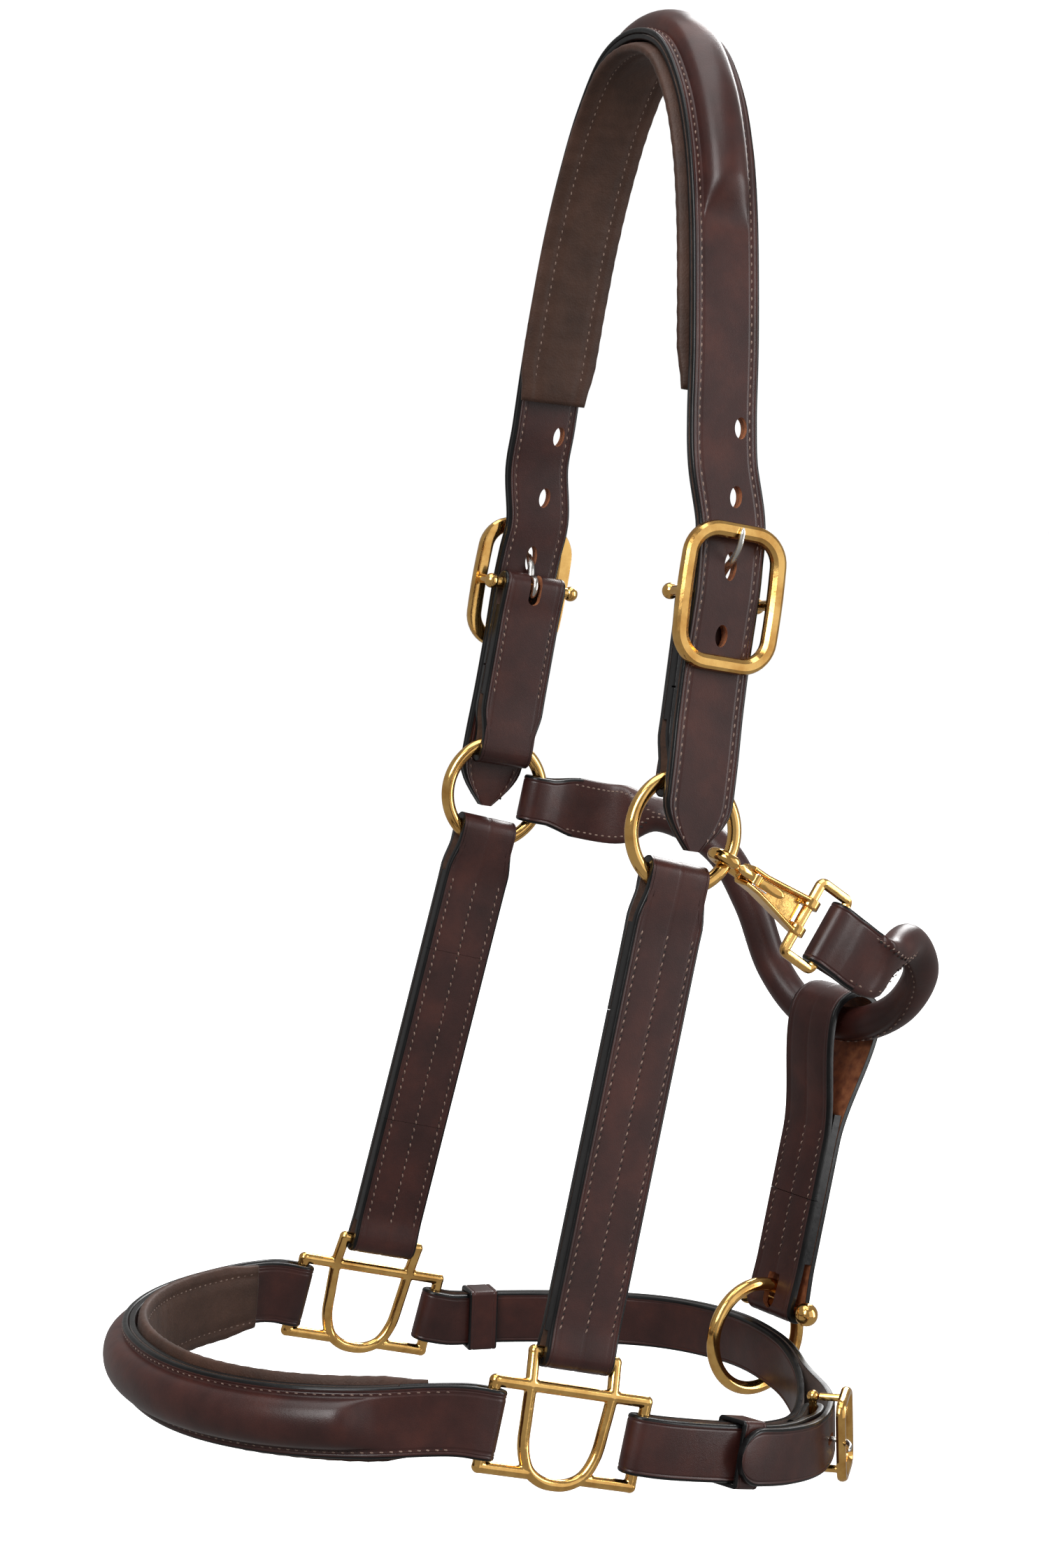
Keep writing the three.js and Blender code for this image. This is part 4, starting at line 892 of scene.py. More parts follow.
def rounded_rectangle(width, height, radius, bulge=0.0):
    """Points round a rectangle with round corners. A bulge bows its long sides out a little."""
    w, h = width / 2 - radius, height / 2 - radius
    corners = ((w, h, 0), (-w, h, 90), (-w, -h, 180), (w, -h, 270))
    points = []
    for i, (x, y, start) in enumerate(corners):
        for angle in np.radians(np.linspace(start, start + 90, 11)):
            points.append((x + radius * math.cos(angle), y + radius * math.sin(angle)))
        x2, y2, _ = corners[(i + 1) % 4]
        last = points[-1]
        step = np.array((x2 - x, y2 - y))
        points += [(last[0] + step[0] * t, last[1] + step[1] * t) for t in (0.2, 0.4, 0.6, 0.8)]
    return [(x + math.copysign(bulge, x) * math.cos(math.pi * y / height), y) for x, y in points]


def band_frame(shape, frame, outline, band, depth, centre_y, z):
    """A buckle's frame: a flat face, bevelled to both edges, run round the outline."""
    half, deep = band / 2, depth / 2
    section = np.array([
        (half, -deep * 0.35), (half, deep * 0.25), (half - 0.35, deep * 0.72), (half * 0.5, deep),
        (-half * 0.35, deep * 0.97), (-half + 0.45, deep * 0.55), (-half, deep * 0.1),
        (-half, -deep * 0.4), (-half + 0.5, -deep * 0.85), (0, -deep), (half - 0.5, -deep * 0.85),
    ])
    stations = []
    for (x, y), (dx, dy) in zip(outline, headings(outline, closed=True)):
        stations.append(Station(frame.at(x, centre_y + y, z), dy * frame.x - dx * frame.y, frame.z))
    return shape.sweep(stations, [section] * len(stations), ["brass"] * len(section), closed=True)


def buckle_tongue(frame, centre_y, eye, wire, shank):
    """The tongue: an eye round the bar, and a shank that tapers to a blunt point."""
    centre = frame.at(0, centre_y, 0)
    shape = Shape().tube(torus_points(centre, frame.y, frame.z, eye, 40), wire, "steel", 14, closed=True)
    points = spline_samples([frame.at(0, centre_y + y, z) for y, z in shank], 8)
    last = len(points) - 1

    def radius_at(t):
        return wire * (1.12 - 0.3 * t) * min(1.0, 0.35 + (1 - t) * last * 0.35)

    return shape.tube(points, wire, "steel", 14, radius_at=radius_at)


def buckle_bar(frame, half, height, radius, ball):
    """The bar that the strap and the tongue turn on, with a ball at each end."""
    bar = rod(Shape(), frame, (-half, height, 0), (half, height, 0), radius)
    for x in (-half, half):
        bar.ball(frame.at(x, height, 0), ball)
    return bar


def build_buckle(side, name):
    frame = CHAPE[side]
    half = (BUCKLE_WIDTH - BUCKLE_BAND) / 2
    height = BUCKLE_BAR_HEIGHT
    outline = rounded_rectangle(BUCKLE_WIDTH - BUCKLE_BAND - 0.8, BUCKLE_HEIGHT - BUCKLE_BAND, 9, 0.8)
    shape = band_frame(Shape(), frame, outline, BUCKLE_BAND, BUCKLE_DEPTH, height, BUCKLE_STANDOFF)
    for x in (-half, half):
        rod(shape, frame, (x, height, 3), (x, height, BUCKLE_STANDOFF), 1.7)
    make_piece(f"buckle_frame_{name}", "cast", shape, "headpiece", crease_angle=24)
    bar = buckle_bar(frame, half, height, BUCKLE_BAR_RADIUS, 2.7)
    make_piece(f"buckle_bar_{name}", "turned", bar, "headpiece")
    shank = [(3.2, 1.8), (7.2, 3.4), (10, 6.1), (12.6, 9.8), (16.8, 13.1), (22.4, 14.3)]
    tongue = buckle_tongue(frame, height, 3.5, 1.2, shank)
    make_piece(f"buckle_tongue_{name}", "bent", tongue, f"crown_tongue_{name}")


# ---------------------------------------------------------------- cheeks and chapes


def build_cheek(side, name):
    frame = CHEEK[side]
    top = Bar(-(fold_reach(CHEEK_WIDTH_AT_RING) + RING_WIRE + CLEARANCE), FOLD_AT_RING, 22)
    bottom = Bar(-SQUARE_TOP_BAR, SQUARE_BAR + CLEARANCE + LEATHER / 2, 10)
    first_end, last_end = top.y - CHEEK_FLAP, bottom.y + CHEEK_FLAP
    path = double_fold(top, bottom, -1, first_end, last_end, APART)
    widths = [taper(y, -top.y, CHEEK_WIDTH_AT_RING, CHEEK_WIDTH) for y, _ in path]
    rows = even_rows(CHEEK_WIDTH, 3)
    strap = folded_strap(fold_stations(frame, path, -1), widths, rows)
    make_piece(f"cheek_strap_{name}", "sewn", strap, "muzzle")

    levels = np.linspace(last_end + SPLICE, first_end - SPLICE, 14)
    stations = [flipped(frame.station(y, -APART)) for y in levels]
    backing = folded_strap(stations, [CHEEK_WIDTH] * len(stations), rows)
    make_piece(f"cheek_backing_{name}", "sewn", backing, "muzzle")
    fill_and_stitch(frame, CHEEK_WIDTH, rows, bottom.y + 7, top.y - 17, bottom.y + 9, "muzzle",
                    f"cheek_filler_{name}", f"cheek_stitches_{name}")


def oval(width, length):
    turns = np.linspace(0, 2 * math.pi, 28, endpoint=False)
    return [(width / 2 * math.cos(a), length / 2 * math.sin(a)) for a in turns]


def long_hole(width, length):
    """The outline of a slot with round ends."""
    straight = length / 2 - width / 2
    outline = []
    for angle in np.linspace(0, 2 * math.pi, 24, endpoint=False):
        end = math.copysign(straight, math.sin(angle) + 1e-9)
        outline.append((width / 2 * math.cos(angle), width / 2 * math.sin(angle) + end))
    return outline


def punch(shape, frame, outline, depth, y, z):
    """A punch of that outline standing along the frame's z, to cut a hole with."""
    stations = [Station(frame.at(0, y, z + way * depth / 2), frame.x, frame.y) for way in (-1, 1)]
    return shape.sweep(stations, [outline, outline], ["raw"] * len(outline), cap="raw")


def build_chape(side, name):
    frame = CHAPE[side]
    top = Bar(BUCKLE_BAR_HEIGHT, BUCKLE_BAR_RADIUS + CLEARANCE + LEATHER / 2, 12)
    bottom = Bar(fold_reach(CHAPE_WIDTH_AT_RING) + RING_WIRE + CLEARANCE, FOLD_AT_RING, 22)
    meet = (top.y + bottom.y) / 2
    path = double_fold(top, bottom, 1, meet + 0.3, meet - 0.3, APART)
    widths = [taper(y, bottom.y, CHAPE_WIDTH_AT_RING, CHAPE_WIDTH) for y, _ in path]
    rows = even_rows(CHAPE_WIDTH, 2)
    strap = folded_strap(fold_stations(frame, path, 1), widths, rows)
    tongue_slot = punch(Shape(), frame, long_hole(4.6, 12.8), 14, BUCKLE_BAR_HEIGHT, 0)
    make_piece(f"chape_{name}", "sewn", strap, "headpiece", tongue_slot)
    low, high = RING_RADIUS + RING_WIRE + 14, BUCKLE_BAR_HEIGHT - 8
    fill_and_stitch(frame, CHAPE_WIDTH, rows, low, high, low + 2, "headpiece",
                    f"chape_filler_{name}", f"chape_stitches_{name}")


# ---------------------------------------------------------------- crown


def with_mirror(points):
    return points + [mirrored(p, FAR) for p in reversed(points[:-1])]


def crown_points():
    """The crown's middle surface, between its cover and its backing, from the near tip to the poll."""
    billet = (
        (-6, 7.2), (8, 7.5), (22, 7.3), (38, 6.4), (56, 6.3), (70, 6.9), (78, 7.2), (88, 6.5), (100, 5),
    )
    arch = (
        (72.9, -13.6, -138), (69.8, -12.4, -124), (66.6, -10.2, -102), (62.4, -8, -80), (56.6, -5.5, -56),
        (49, -3.2, -34.5), (38.2, -1.4, -14.5), (21.5, -0.3, 2.4), (0, 0, 7.6),
    )
    return [CHAPE[NEAR].at(0, y, z) for y, z in billet] + [np.array(p, float) for p in arch]


def raise_at(distance, start):
    return RAISE_HEIGHT * smooth(distance, start, start + 14)


def crown_openness(from_tip):
    """How far a pointed end has opened out to its full width, from 0 to 1."""
    return math.sin(math.pi / 2 * min(from_tip / TIP_LENGTH, 1))


def scaled_width(section, scale):
    return np.asarray(section) * (scale, 1)


def buckle_holes():
    """The punches for both billets' holes. The one that the tongue sits in is worn long."""
    first = BUCKLE_BAR_HEIGHT + HOLE_ABOVE_BAR
    shape = Shape()
    for side, _ in SIDES:
        for count in range(-1, 3):
            length = HOLE_LENGTH if count else WORN_HOLE_LENGTH
            punch(shape, CHAPE[side], oval(HOLE_WIDTH, length), 16, first + count * HOLE_SPACING, 6)
    return shape


def build_ridge(name, ribbon, start, layer, bottom, body, lift=0.0):
    """The cord under a strap's raised middle, flattened at both ends."""
    stations = ribbon.stations(start, ribbon.length - start, 5, lambda d: lift)
    reach = RAISE_WIDTH / 2 - layer * 0.3 - 0.5
    angles = np.linspace(0, math.pi, 13)
    height = RAISE_HEIGHT * 0.9
    section = np.array([(reach * math.cos(a), bottom + 0.12 + math.sin(a) ** 0.8 * height) for a in angles])
    low_end = section * (1, 0.4)
    sections = [low_end] + [section] * (len(stations) - 2) + [low_end]
    cord = Shape().sweep(stations, sections, ["flesh"] * len(section), cap="flesh")
    make_piece(f"{name}_filler", "cord", cord, body)


def sewn_rows(stitches, ribbon, start, end, row, lift_at, scale_at, inner=False):
    """Two rows of stitches along a ribbon, pulled in where the strap narrows."""
    for side in (-1, 1):
        for distance in np.arange(start, end, STITCH_PITCH):
            across = side * row * scale_at(distance)
            station = ribbon.station(distance, lift_at(distance), across)
            if inner:
                station = flipped(station)
            add_stitch(stitches, station, ribbon.along(distance), slant=0.12)


def build_crown():
    ribbon = Ribbon(with_mirror(crown_points()), lambda distance, length: (0, 1, 0))
    length = ribbon.length
    gap = LAYER_GAP / 2
    holes = buckle_holes()

    def scale_at(distance):
        return lerp(TIP_WIDTH / CROWN_WIDTH, 1, crown_openness(min(distance, length - distance)))

    stations = ribbon.stations(0, length, COARSE)
    distances = np.linspace(0, length, len(stations))

    def cover_at(i):
        height = raise_at(min(distances[i], length - distances[i]), CROWN_RAISE_START)
        section, kinds = arched_section(CROWN_WIDTH, CROWN_LAYER, height, gap)
        return scaled_width(section, scale_at(distances[i])), kinds

    cover = Shape().strap(stations, cover_at)
    make_piece("crown_cover", "raised", cover, "headpiece", holes)

    row = RAISE_WIDTH / 2 + CROWN_LAYER * 0.45 + 1.15

    def backing_at(i):
        section, kinds = strap_section(CROWN_WIDTH, CROWN_LAYER, (-row, row), gap + CROWN_LAYER / 2)
        return scaled_width(section, scale_at(distances[i])), kinds

    backing = Shape().strap([flipped(station) for station in stations], backing_at)
    make_piece("crown_backing", "sewn", backing, "headpiece", holes)
    build_ridge("crown", ribbon, CROWN_RAISE_START + 10, CROWN_LAYER, gap, "headpiece")
    middle = -(gap + CROWN_LAYER + LINING_GAP / 2 + CROWN_LINING_THICKNESS / 2)
    build_lining("crown", ribbon, CROWN_LINING_START, CROWN_LINING_WIDTH, CROWN_LINING_THICKNESS, middle,
                 "headpiece", row)

    stitches = Shape()
    face, back = gap + CROWN_LAYER - 0.2, -(gap + CROWN_LAYER) + 0.12
    lining_end = length - CROWN_LINING_START + 3
    sewn_rows(stitches, ribbon, 4, length - 3, row, lambda d: face, scale_at)
    sewn_rows(stitches, ribbon, 4, CROWN_LINING_START - 3, row, lambda d: back, scale_at, True)
    sewn_rows(stitches, ribbon, lining_end, length - 3, row, lambda d: back, scale_at, True)
    make_stitches("crown_stitches", stitches, "headpiece")


def lining_section(width, thickness, row, reach, along, wander):
    """A pad's section at one place: pinched towards its ends, quilted at its rows and a little puckered."""
    pinch = 0.55 + 0.45 * math.sqrt(min(reach / 5, 1))
    pucker = 0.07 * math.sin(2 * math.pi * along / PUCKER_PITCH) + 0.03 * wander
    section = pad_section(width, thickness)
    across, out = section.T
    seams = np.exp(-(((np.abs(across) - row) / 0.9) ** 2))
    swell = 1 - 0.34 * seams * (out < 0) + pucker * 0.25
    narrowing = 1 - 0.13 * (1 - smooth(reach, 0, 16))
    puckered = across + np.sign(across) * pucker * (np.abs(across) > width * 0.4)
    return np.stack([puckered * narrowing, out * swell * pinch], axis=1)


def build_lining(name, ribbon, start, width, thickness, lift, body, row):
    """A padded lining: it swells between the rows of stitches that quilt it to the strap."""
    rng = random.Random(7)
    spacing = 1.5
    length = ribbon.length
    stations = ribbon.stations(start, length - start, spacing)
    sections = []
    for i in range(len(stations)):
        reach = min(i, len(stations) - 1 - i) * spacing
        section = lining_section(width, thickness, row, reach, i * spacing, rng.uniform(-1, 1))
        sections.append(section + (0, lift))
    shape = Shape().sweep(stations, sections, ["lining"] * len(sections[0]), cap="lining")
    piece = make_piece(f"{name}_lining", "padded", shape, body, crease_angle=80)
    stitches = Shape()
    depth = lift - thickness / 2 * 0.62
    sewn_rows(stitches, ribbon, start + 4, length - start - 3, row, lambda d: depth, lambda d: 1, True)
    make_stitches(f"{name}_lining_stitches", stitches, body)


# ---------------------------------------------------------------- noseband


def noseband_points():
    frame = CHEEK[NEAR]
    bar = frame.at(-SQUARE_HALF_WIDTH, SLOT_MIDDLE, SQUARE_OFFSET)
    points = [bar, frame.at(-SQUARE_HALF_WIDTH - 8, SLOT_MIDDLE, SQUARE_OFFSET)]
    steps = 7
    for i in range(1, steps + 1):
        angle = math.pi / 2 * i / steps
        x = bar[0] * max(math.cos(angle), 0) ** 0.92
        y = bar[1] - (bar[1] - NOSE_TIP[1]) * math.sin(angle)
        points.append(np.array((x, y, lerp(bar[2] + 3, NOSE_TIP[2], math.sin(angle)))))
    return points


def levelled(distance, length, easing):
    """The width of a strap that leaves a square along the cheek and levels off within the easing."""
    side = NEAR if distance < length / 2 else FAR
    level = smooth(min(distance, length - distance), 0, easing)
    return lerp(mirrored(CHEEK_UP, side), np.array((0, 0, 1.0)), level)


def noseband_across(distance, length):
    return levelled(distance, length, 70)


def build_noseband():
    ribbon = Ribbon(with_mirror(noseband_points()), noseband_across)
    length = ribbon.length
    apart = (NOSE_LAYER + LAYER_GAP) / 2
    fold = SQUARE_BAR + CLEARANCE + NOSE_LAYER / 2

    def lift_at(distance):
        return layer_offset(min(distance, length - distance), fold, apart, 16)

    def flap(start, end):
        return [flipped(s) for s in ribbon.stations(start, end, COARSE, lambda d: -lift_at(d))]

    outer = ribbon.stations(0, length, COARSE, lift_at)
    before = flap(NOSE_FLAP, 0) + bar_turn(outer[0], fold, -1)[::-1]
    after = bar_turn(outer[-1], fold, 1) + flap(length, length - NOSE_FLAP)
    heights = [raise_at(min(d, length - d), NOSE_RAISE_START) for d in np.linspace(0, length, len(outer))]
    heights = [0] * len(before) + heights + [0] * len(after)
    bottom = -NOSE_LAYER / 2
    cover = Shape().strap(
        before + outer + after, lambda i: arched_section(NOSE_WIDTH, NOSE_LAYER, heights[i], bottom))
    make_piece("noseband_cover", "raised", cover, "muzzle")

    inner = ribbon.stations(NOSE_FLAP + 0.5, length - NOSE_FLAP - 0.5, COARSE, lambda d: -apart)
    backing = folded_strap([flipped(s) for s in inner], [NOSE_WIDTH] * len(inner), (), NOSE_LAYER)
    make_piece("noseband_backing", "sewn", backing, "muzzle")
    build_ridge("noseband", ribbon, NOSE_RAISE_START + 10, NOSE_LAYER, bottom, "muzzle", apart)
    row = RAISE_WIDTH / 2 + NOSE_LAYER * 0.45 + 1.1
    lift = -(apart + NOSE_LAYER / 2 + LAYER_GAP / 2 + NOSE_LINING_THICKNESS / 2)
    build_lining("noseband", ribbon, 19, NOSE_LINING_WIDTH, NOSE_LINING_THICKNESS, lift, "muzzle", row)

    stitches = Shape()
    face = NOSE_LAYER / 2 - 0.2
    sewn_rows(stitches, ribbon, 14, length - 14, row, lambda d: lift_at(d) + face, lambda d: 1)
    make_stitches("noseband_stitches", stitches, "muzzle")


# ---------------------------------------------------------------- chin strap


def chin_points():
    round_the_chin = (
        (83.5, -18, -459.5), (74, 5.5, -465), (61.5, 23, -467), (42, 36.4, -462.5), (20, 42.2, -456.5),
        (0, 41, -453), (-27, 38.5, -453.5), (-54, 27, -454.5), (-76, 4, -455.5), (-86, -22, -455),
    )
    half = SQUARE_HALF_WIDTH
    near = [CHEEK[NEAR].at(x, SLOT_MIDDLE, SQUARE_OFFSET) for x in (half, half + 8)]
    far = [CHEEK[FAR].at(x, SLOT_MIDDLE, SQUARE_OFFSET) for x in (-half - 8, -half)]
    return near + [np.array(p, float) for p in round_the_chin] + far


def chin_across(distance, length):
    """The width runs downwards, so that each lift is away from the chin."""
    return -levelled(distance, length, 50)


CHIN_FOLD = SQUARE_BAR + 2 * CLEARANCE + CHIN_LAYER / 2
CHIN_CHAPE_FOLD = CHIN_BAR + CLEARANCE + CHIN_LAYER / 2
CHIN = Ribbon(chin_points(), chin_across)


def at_chin_bar(distance):
    return 1 - smooth(abs(distance - CHIN_BUCKLE_AT), 2, 14)


def chin_inner_lift(distance):
    return -max(layer_offset(distance, CHIN_FOLD, CHIN_APART, 42),
                layer_offset(CHIN.length - distance, CHIN_FOLD, CHIN_APART, 30))


def chin_near_lift(distance):
    away = lerp(CHIN_FOLD, CHIN_APART + CHIN_LAYER + LAYER_GAP, smooth(distance, 0, 60))
    return lerp(away, CHIN_BAR_LIFT + CHIN_CHAPE_FOLD, at_chin_bar(distance))


def chin_flap_lift(distance):
    return lerp(CHIN_APART, CHIN_BAR_LIFT - CHIN_CHAPE_FOLD, at_chin_bar(distance))


def chin_billet_lift(distance):
    over_bar = CHIN_BAR_LIFT + CHIN_CHAPE_FOLD + CHIN_LAYER + LAYER_GAP
    buckled = lerp(CHIN_BILLET_LIFT, over_bar, smooth(distance, CHIN_BUCKLE_AT - 20, CHIN_BUCKLE_AT))
    free = layer_offset(CHIN.length - distance, CHIN_FOLD, CHIN_APART, 30)
    return lerp(buckled, free, smooth(distance, CHIN_BUCKLE_AT + 4, CHIN_BUCKLE_AT + 34))


def chin_frame(distance, lift):
    station = CHIN.station(distance, lift)
    return Frame(station.point, CHIN.along(distance), station.out)


def chin_tip_scale(from_tip):
    radius = CHIN_WIDTH / 2
    reach = min(from_tip, radius)
    return max(math.sqrt(radius**2 - (radius - reach) ** 2), 1.2) / radius


def build_chin_strap():
    length = CHIN.length
    spacing = 1.8
    tip_span = 12
    tip = CHIN.stations(CHIN_TIP_AT, CHIN_TIP_AT + tip_span, 0.7, chin_billet_lift)
    outer = CHIN.stations(CHIN_TIP_AT + tip_span, length, spacing, chin_billet_lift)[1:]
    inner = [flipped(s) for s in CHIN.stations(length, 0, spacing, chin_inner_lift)]
    near = CHIN.stations(0, CHIN_BUCKLE_AT, spacing, chin_near_lift)
    flap_end = CHIN.stations(CHIN_BUCKLE_AT, CHIN_BUCKLE_AT - CHIN_FLAP, spacing, chin_flap_lift)
    flap = [flipped(s) for s in flap_end]
    stations = (
        tip + outer + bar_turn(outer[-1], CHIN_FOLD, 1) + inner + bar_turn(near[0], CHIN_FOLD, -1)[::-1]
        + near + bar_turn(near[-1], CHIN_CHAPE_FOLD, 1) + flap
    )
    scales = [chin_tip_scale(d) for d in np.linspace(0, tip_span, len(tip))]
    scales += [1] * (len(stations) - len(tip))
    section, kinds = strap_section(CHIN_WIDTH, CHIN_LAYER)
    strap = Shape().strap(stations, lambda i: (scaled_width(section, scales[i]), kinds))
    frame = chin_frame(CHIN_BUCKLE_AT, CHIN_BAR_LIFT)
    cuts = punch(Shape(), frame, long_hole(3.4, 11), 8.6, -1, 0.05)
    punch(cuts, frame, oval(3.6, 7.2), 3.4, -4.4, 6.1)
    make_piece("chin_strap", "cut", strap, "chin", cuts)

    row = CHIN_WIDTH / 2 - 2.6
    face = CHIN_LAYER / 2 - 0.02
    stitches = Shape()
    for across in (-row, row):
        for distance in np.arange(CHIN_BUCKLE_AT + 36, length - 22, STITCH_PITCH):
            station = CHIN.station(distance, chin_billet_lift(distance) + face, across)
            add_stitch(stitches, station, CHIN.along(distance))
    make_stitches("chin_stitches", stitches, "chin")
    return frame


def build_chin_buckle(frame):
    half = (CHIN_BUCKLE_WIDTH - CHIN_BAND) / 2
    outline = rounded_rectangle(CHIN_BUCKLE_WIDTH - CHIN_BAND, CHIN_BUCKLE_LENGTH - CHIN_BAND, 4)
    shape = band_frame(Shape(), frame, outline, CHIN_BAND, CHIN_BAND, 0, CHIN_STANDOFF)
    for x in (-half, half):
        rod(shape, frame, (x, 0, 2.4), (x, 0, CHIN_STANDOFF), 1.3)
    make_piece("chin_buckle_frame", "cast", shape, "chin", crease_angle=24)

    bar = buckle_bar(frame, half, 0, CHIN_BAR, 2.1)
    make_piece("chin_buckle_bar", "turned", bar, "chin")

    shank = [(-1.8, 2.2), (-3, 4), (-4.4, 7), (-5.2, 11.6), (-8.2, 13.7), (-12.4, 13.7)]
    tongue = buckle_tongue(frame, 0, 2.7, 0.9, shank)
    make_piece("chin_buckle_tongue", "bent", tongue, "chin_tongue")


def build_keeper(name, distance, low, high):
    """A runner: a flat band of leather sewn into a loop round the strap's layers."""
    frame = chin_frame(distance, 0)
    wall, length = 1.4, 11
    width, height = CHIN_WIDTH + 2 * CLEARANCE + wall, high - low + wall
    outline = rounded_rectangle(width, height, 0.75)
    section = strap_section(length, wall)
    stations = []
    for (x, z), (dx, dz) in zip(outline, headings(outline, closed=True)):
        place = frame.at(x, 0, (low + high) / 2 + z)
        stations.append(Station(place, frame.y, dz * frame.x - dx * frame.z))
    shape = Shape().strap(stations, lambda i: section, closed=True)
    make_piece(f"chin_{name}", "band", shape, name)


# ---------------------------------------------------------------- snap


def snap_frame():
    along = (-0.165, math.cos(SNAP_ANGLE) * 0.986, math.sin(SNAP_ANGLE) * 0.986)
    reach = np.array((0, math.cos(SNAP_ANGLE), math.sin(SNAP_ANGLE))) * RING_RADIUS
    reach[0] = -reach[2] * math.tan(RING_TILT)
    return Frame(ring_centre(NEAR) + reach, along, (-1, 0, 0))


SNAP = snap_frame()
SNAP_PIN = (11.6, -3.2)


def snap_channel(shape):
    """The body: a channel with two rounded rails that spread towards the loop."""
    wall = 1.6
    stops = (
        (8.5, 3.6, -4.6), (11, 3.65, -4.6), (15, 3.8, -4.4), (22, 4.7, -3.8), (30, 5.8, -3), (36, 6.6, -2.4),
    )
    stations, sections = [], []
    for y, half, low in stops:
        rail = [
            (half, low + 0.5), (half - wall * 0.3, low), (half - wall * 0.7, low), (half - wall, low + 0.5),
            (half - wall, 1.4),
        ]
        back = [(half, 2.4), (half - 1, 3.4)]
        section = [(-x, z) for x, z in rail] + rail[::-1]
        sections.append(section + back + [(-x, z) for x, z in reversed(back)])
        stations.append(Station(SNAP.at(0, y, 0), SNAP.x, SNAP.z))
    return shape.sweep(stations, sections, ["brass"] * 14, cap="brass")


def build_snap_body():
    hook = [(15, 3.3), (10, 3.6), (5, 4.4)]
    for angle in np.radians(range(80, 276, 14)):
        hook.append((HOOK_RADIUS * math.cos(angle), HOOK_RADIUS * math.sin(angle)))
    body = Shape().tube(spline_samples([SNAP.at(0, y, z) for y, z in hook], 4), HOOK_WIRE, "brass", 20)
    body.ball(SNAP.at(0, *hook[-1]), HOOK_WIRE * 0.98)
    snap_channel(body)
    for x in (-5, 5):
        rod(body, SNAP, (x - 1.6, SNAP_LENGTH, 0), (x + 1.6, SNAP_LENGTH, 0), 3.3)
    cast("snap_body", body, "throat_latch", 0.25, 3)


def build_snap_gate():
    """The thumb piece that closes the hook, broad and round in the middle."""
    path = [SNAP.at(0, y, z) for y, z in ((1.9, -4.9), (7, -4.2), (11.6, -3.4), (16, -5), (22, -7.2))]
    ribbon = Ribbon(path, lambda distance, length: SNAP.x)
    stations = ribbon.stations(0, ribbon.length, 0.8)
    sections = []
    for t in np.linspace(0, 1, len(stations)):
        thumb = 0.45 * math.sin(math.pi * t) + smooth(t, 0.55, 0.8) * 0.2
        end = math.sqrt(max(1 - abs(2 * t - 1) ** 8, 0.05))
        sections.append(circle((1.5 + thumb * 0.4) * end, (0.9 + thumb * 0.5) * end, 20, 3))
    gate = Shape().sweep(stations, sections, ["brass"] * 20, cap="brass")
    rod(gate, SNAP, (-1.5, *SNAP_PIN), (1.5, *SNAP_PIN), 2.2)
    make_piece("snap_gate", "cast", gate, "gate")


def build_snap():
    build_snap_body()
    pin = rod(Shape(), SNAP, (-3.5, *SNAP_PIN), (3.5, *SNAP_PIN), 0.9, "steel")
    make_piece("snap_pin", "turned", pin, "throat_latch")
    build_snap_gate()

    bends = ((21, 0.8), (13, 0.3), (10, -0.4), (8.4, -1.3))
    leaf = [Station(SNAP.at(0, y, z), SNAP.x, SNAP.z) for y, z in bends]
    spring = Shape().sweep(leaf, [circle(1.3, 0.25, 12, 6)] * 4, ["steel"] * 12, cap="steel")
    make_piece("snap_spring", "leaf", spring, "throat_latch")

    wire = 2 * SNAP_WIRE
    outline = rounded_rectangle(SNAP_LOOP_WIDTH - wire, SNAP_LOOP_LENGTH, 1.6)
    loop = band_frame(Shape(), SNAP, outline, wire, wire, SNAP_LENGTH + SNAP_LOOP_LENGTH / 2, 0)
    make_piece("snap_loop", "wire", loop, "throat_latch", crease_angle=24)


# ---------------------------------------------------------------- throat latch

TAB_DIRECTION = np.array((0, math.cos(TAB_LEAN), math.sin(TAB_LEAN)))
TAB_APART = (LEATHER + LAYER_GAP) / 2


def throat_points():
    ring = ring_centre(FAR)
    fold = fold_reach(TAB_WIDTH_AT_RING) + RING_WIRE + CLEARANCE
    wire_lean = fold * math.sin(-TAB_LEAN) * math.tan(RING_TILT)
    start = [ring + TAB_DIRECTION * d + (inward, 0, 0) for d, inward in (
        (fold, -wire_lean), (fold + 12, -wire_lean + 0.6), (fold + 28, 6))]
    middle = (
        (-55, 32, -266), (-42, 46, -277), (-33, 54, -296), (-26, 60, -319), (-14, 66, -333), (0, 71, -336.4),
        (14, 76, -335), (29, 81, -327), (44, 80, -312.5), (55, 68, -300),
    )
    end = SNAP_LENGTH + SNAP_LOOP_LENGTH
    finish = [SNAP.at(0, end + 20, -4.5), SNAP.at(0, end + 9, -0.6), SNAP.at(0, end, 0)]
    return start + [np.array(p, float) for p in middle] + finish


def throat_across(distance, length):
    far = np.array((math.tan(RING_TILT), -TAB_DIRECTION[2], TAB_DIRECTION[1]))
    return lerp(far, SNAP.x, smooth(distance, length * 0.35, length * 0.75))


THROAT = Ribbon(throat_points(), throat_across)


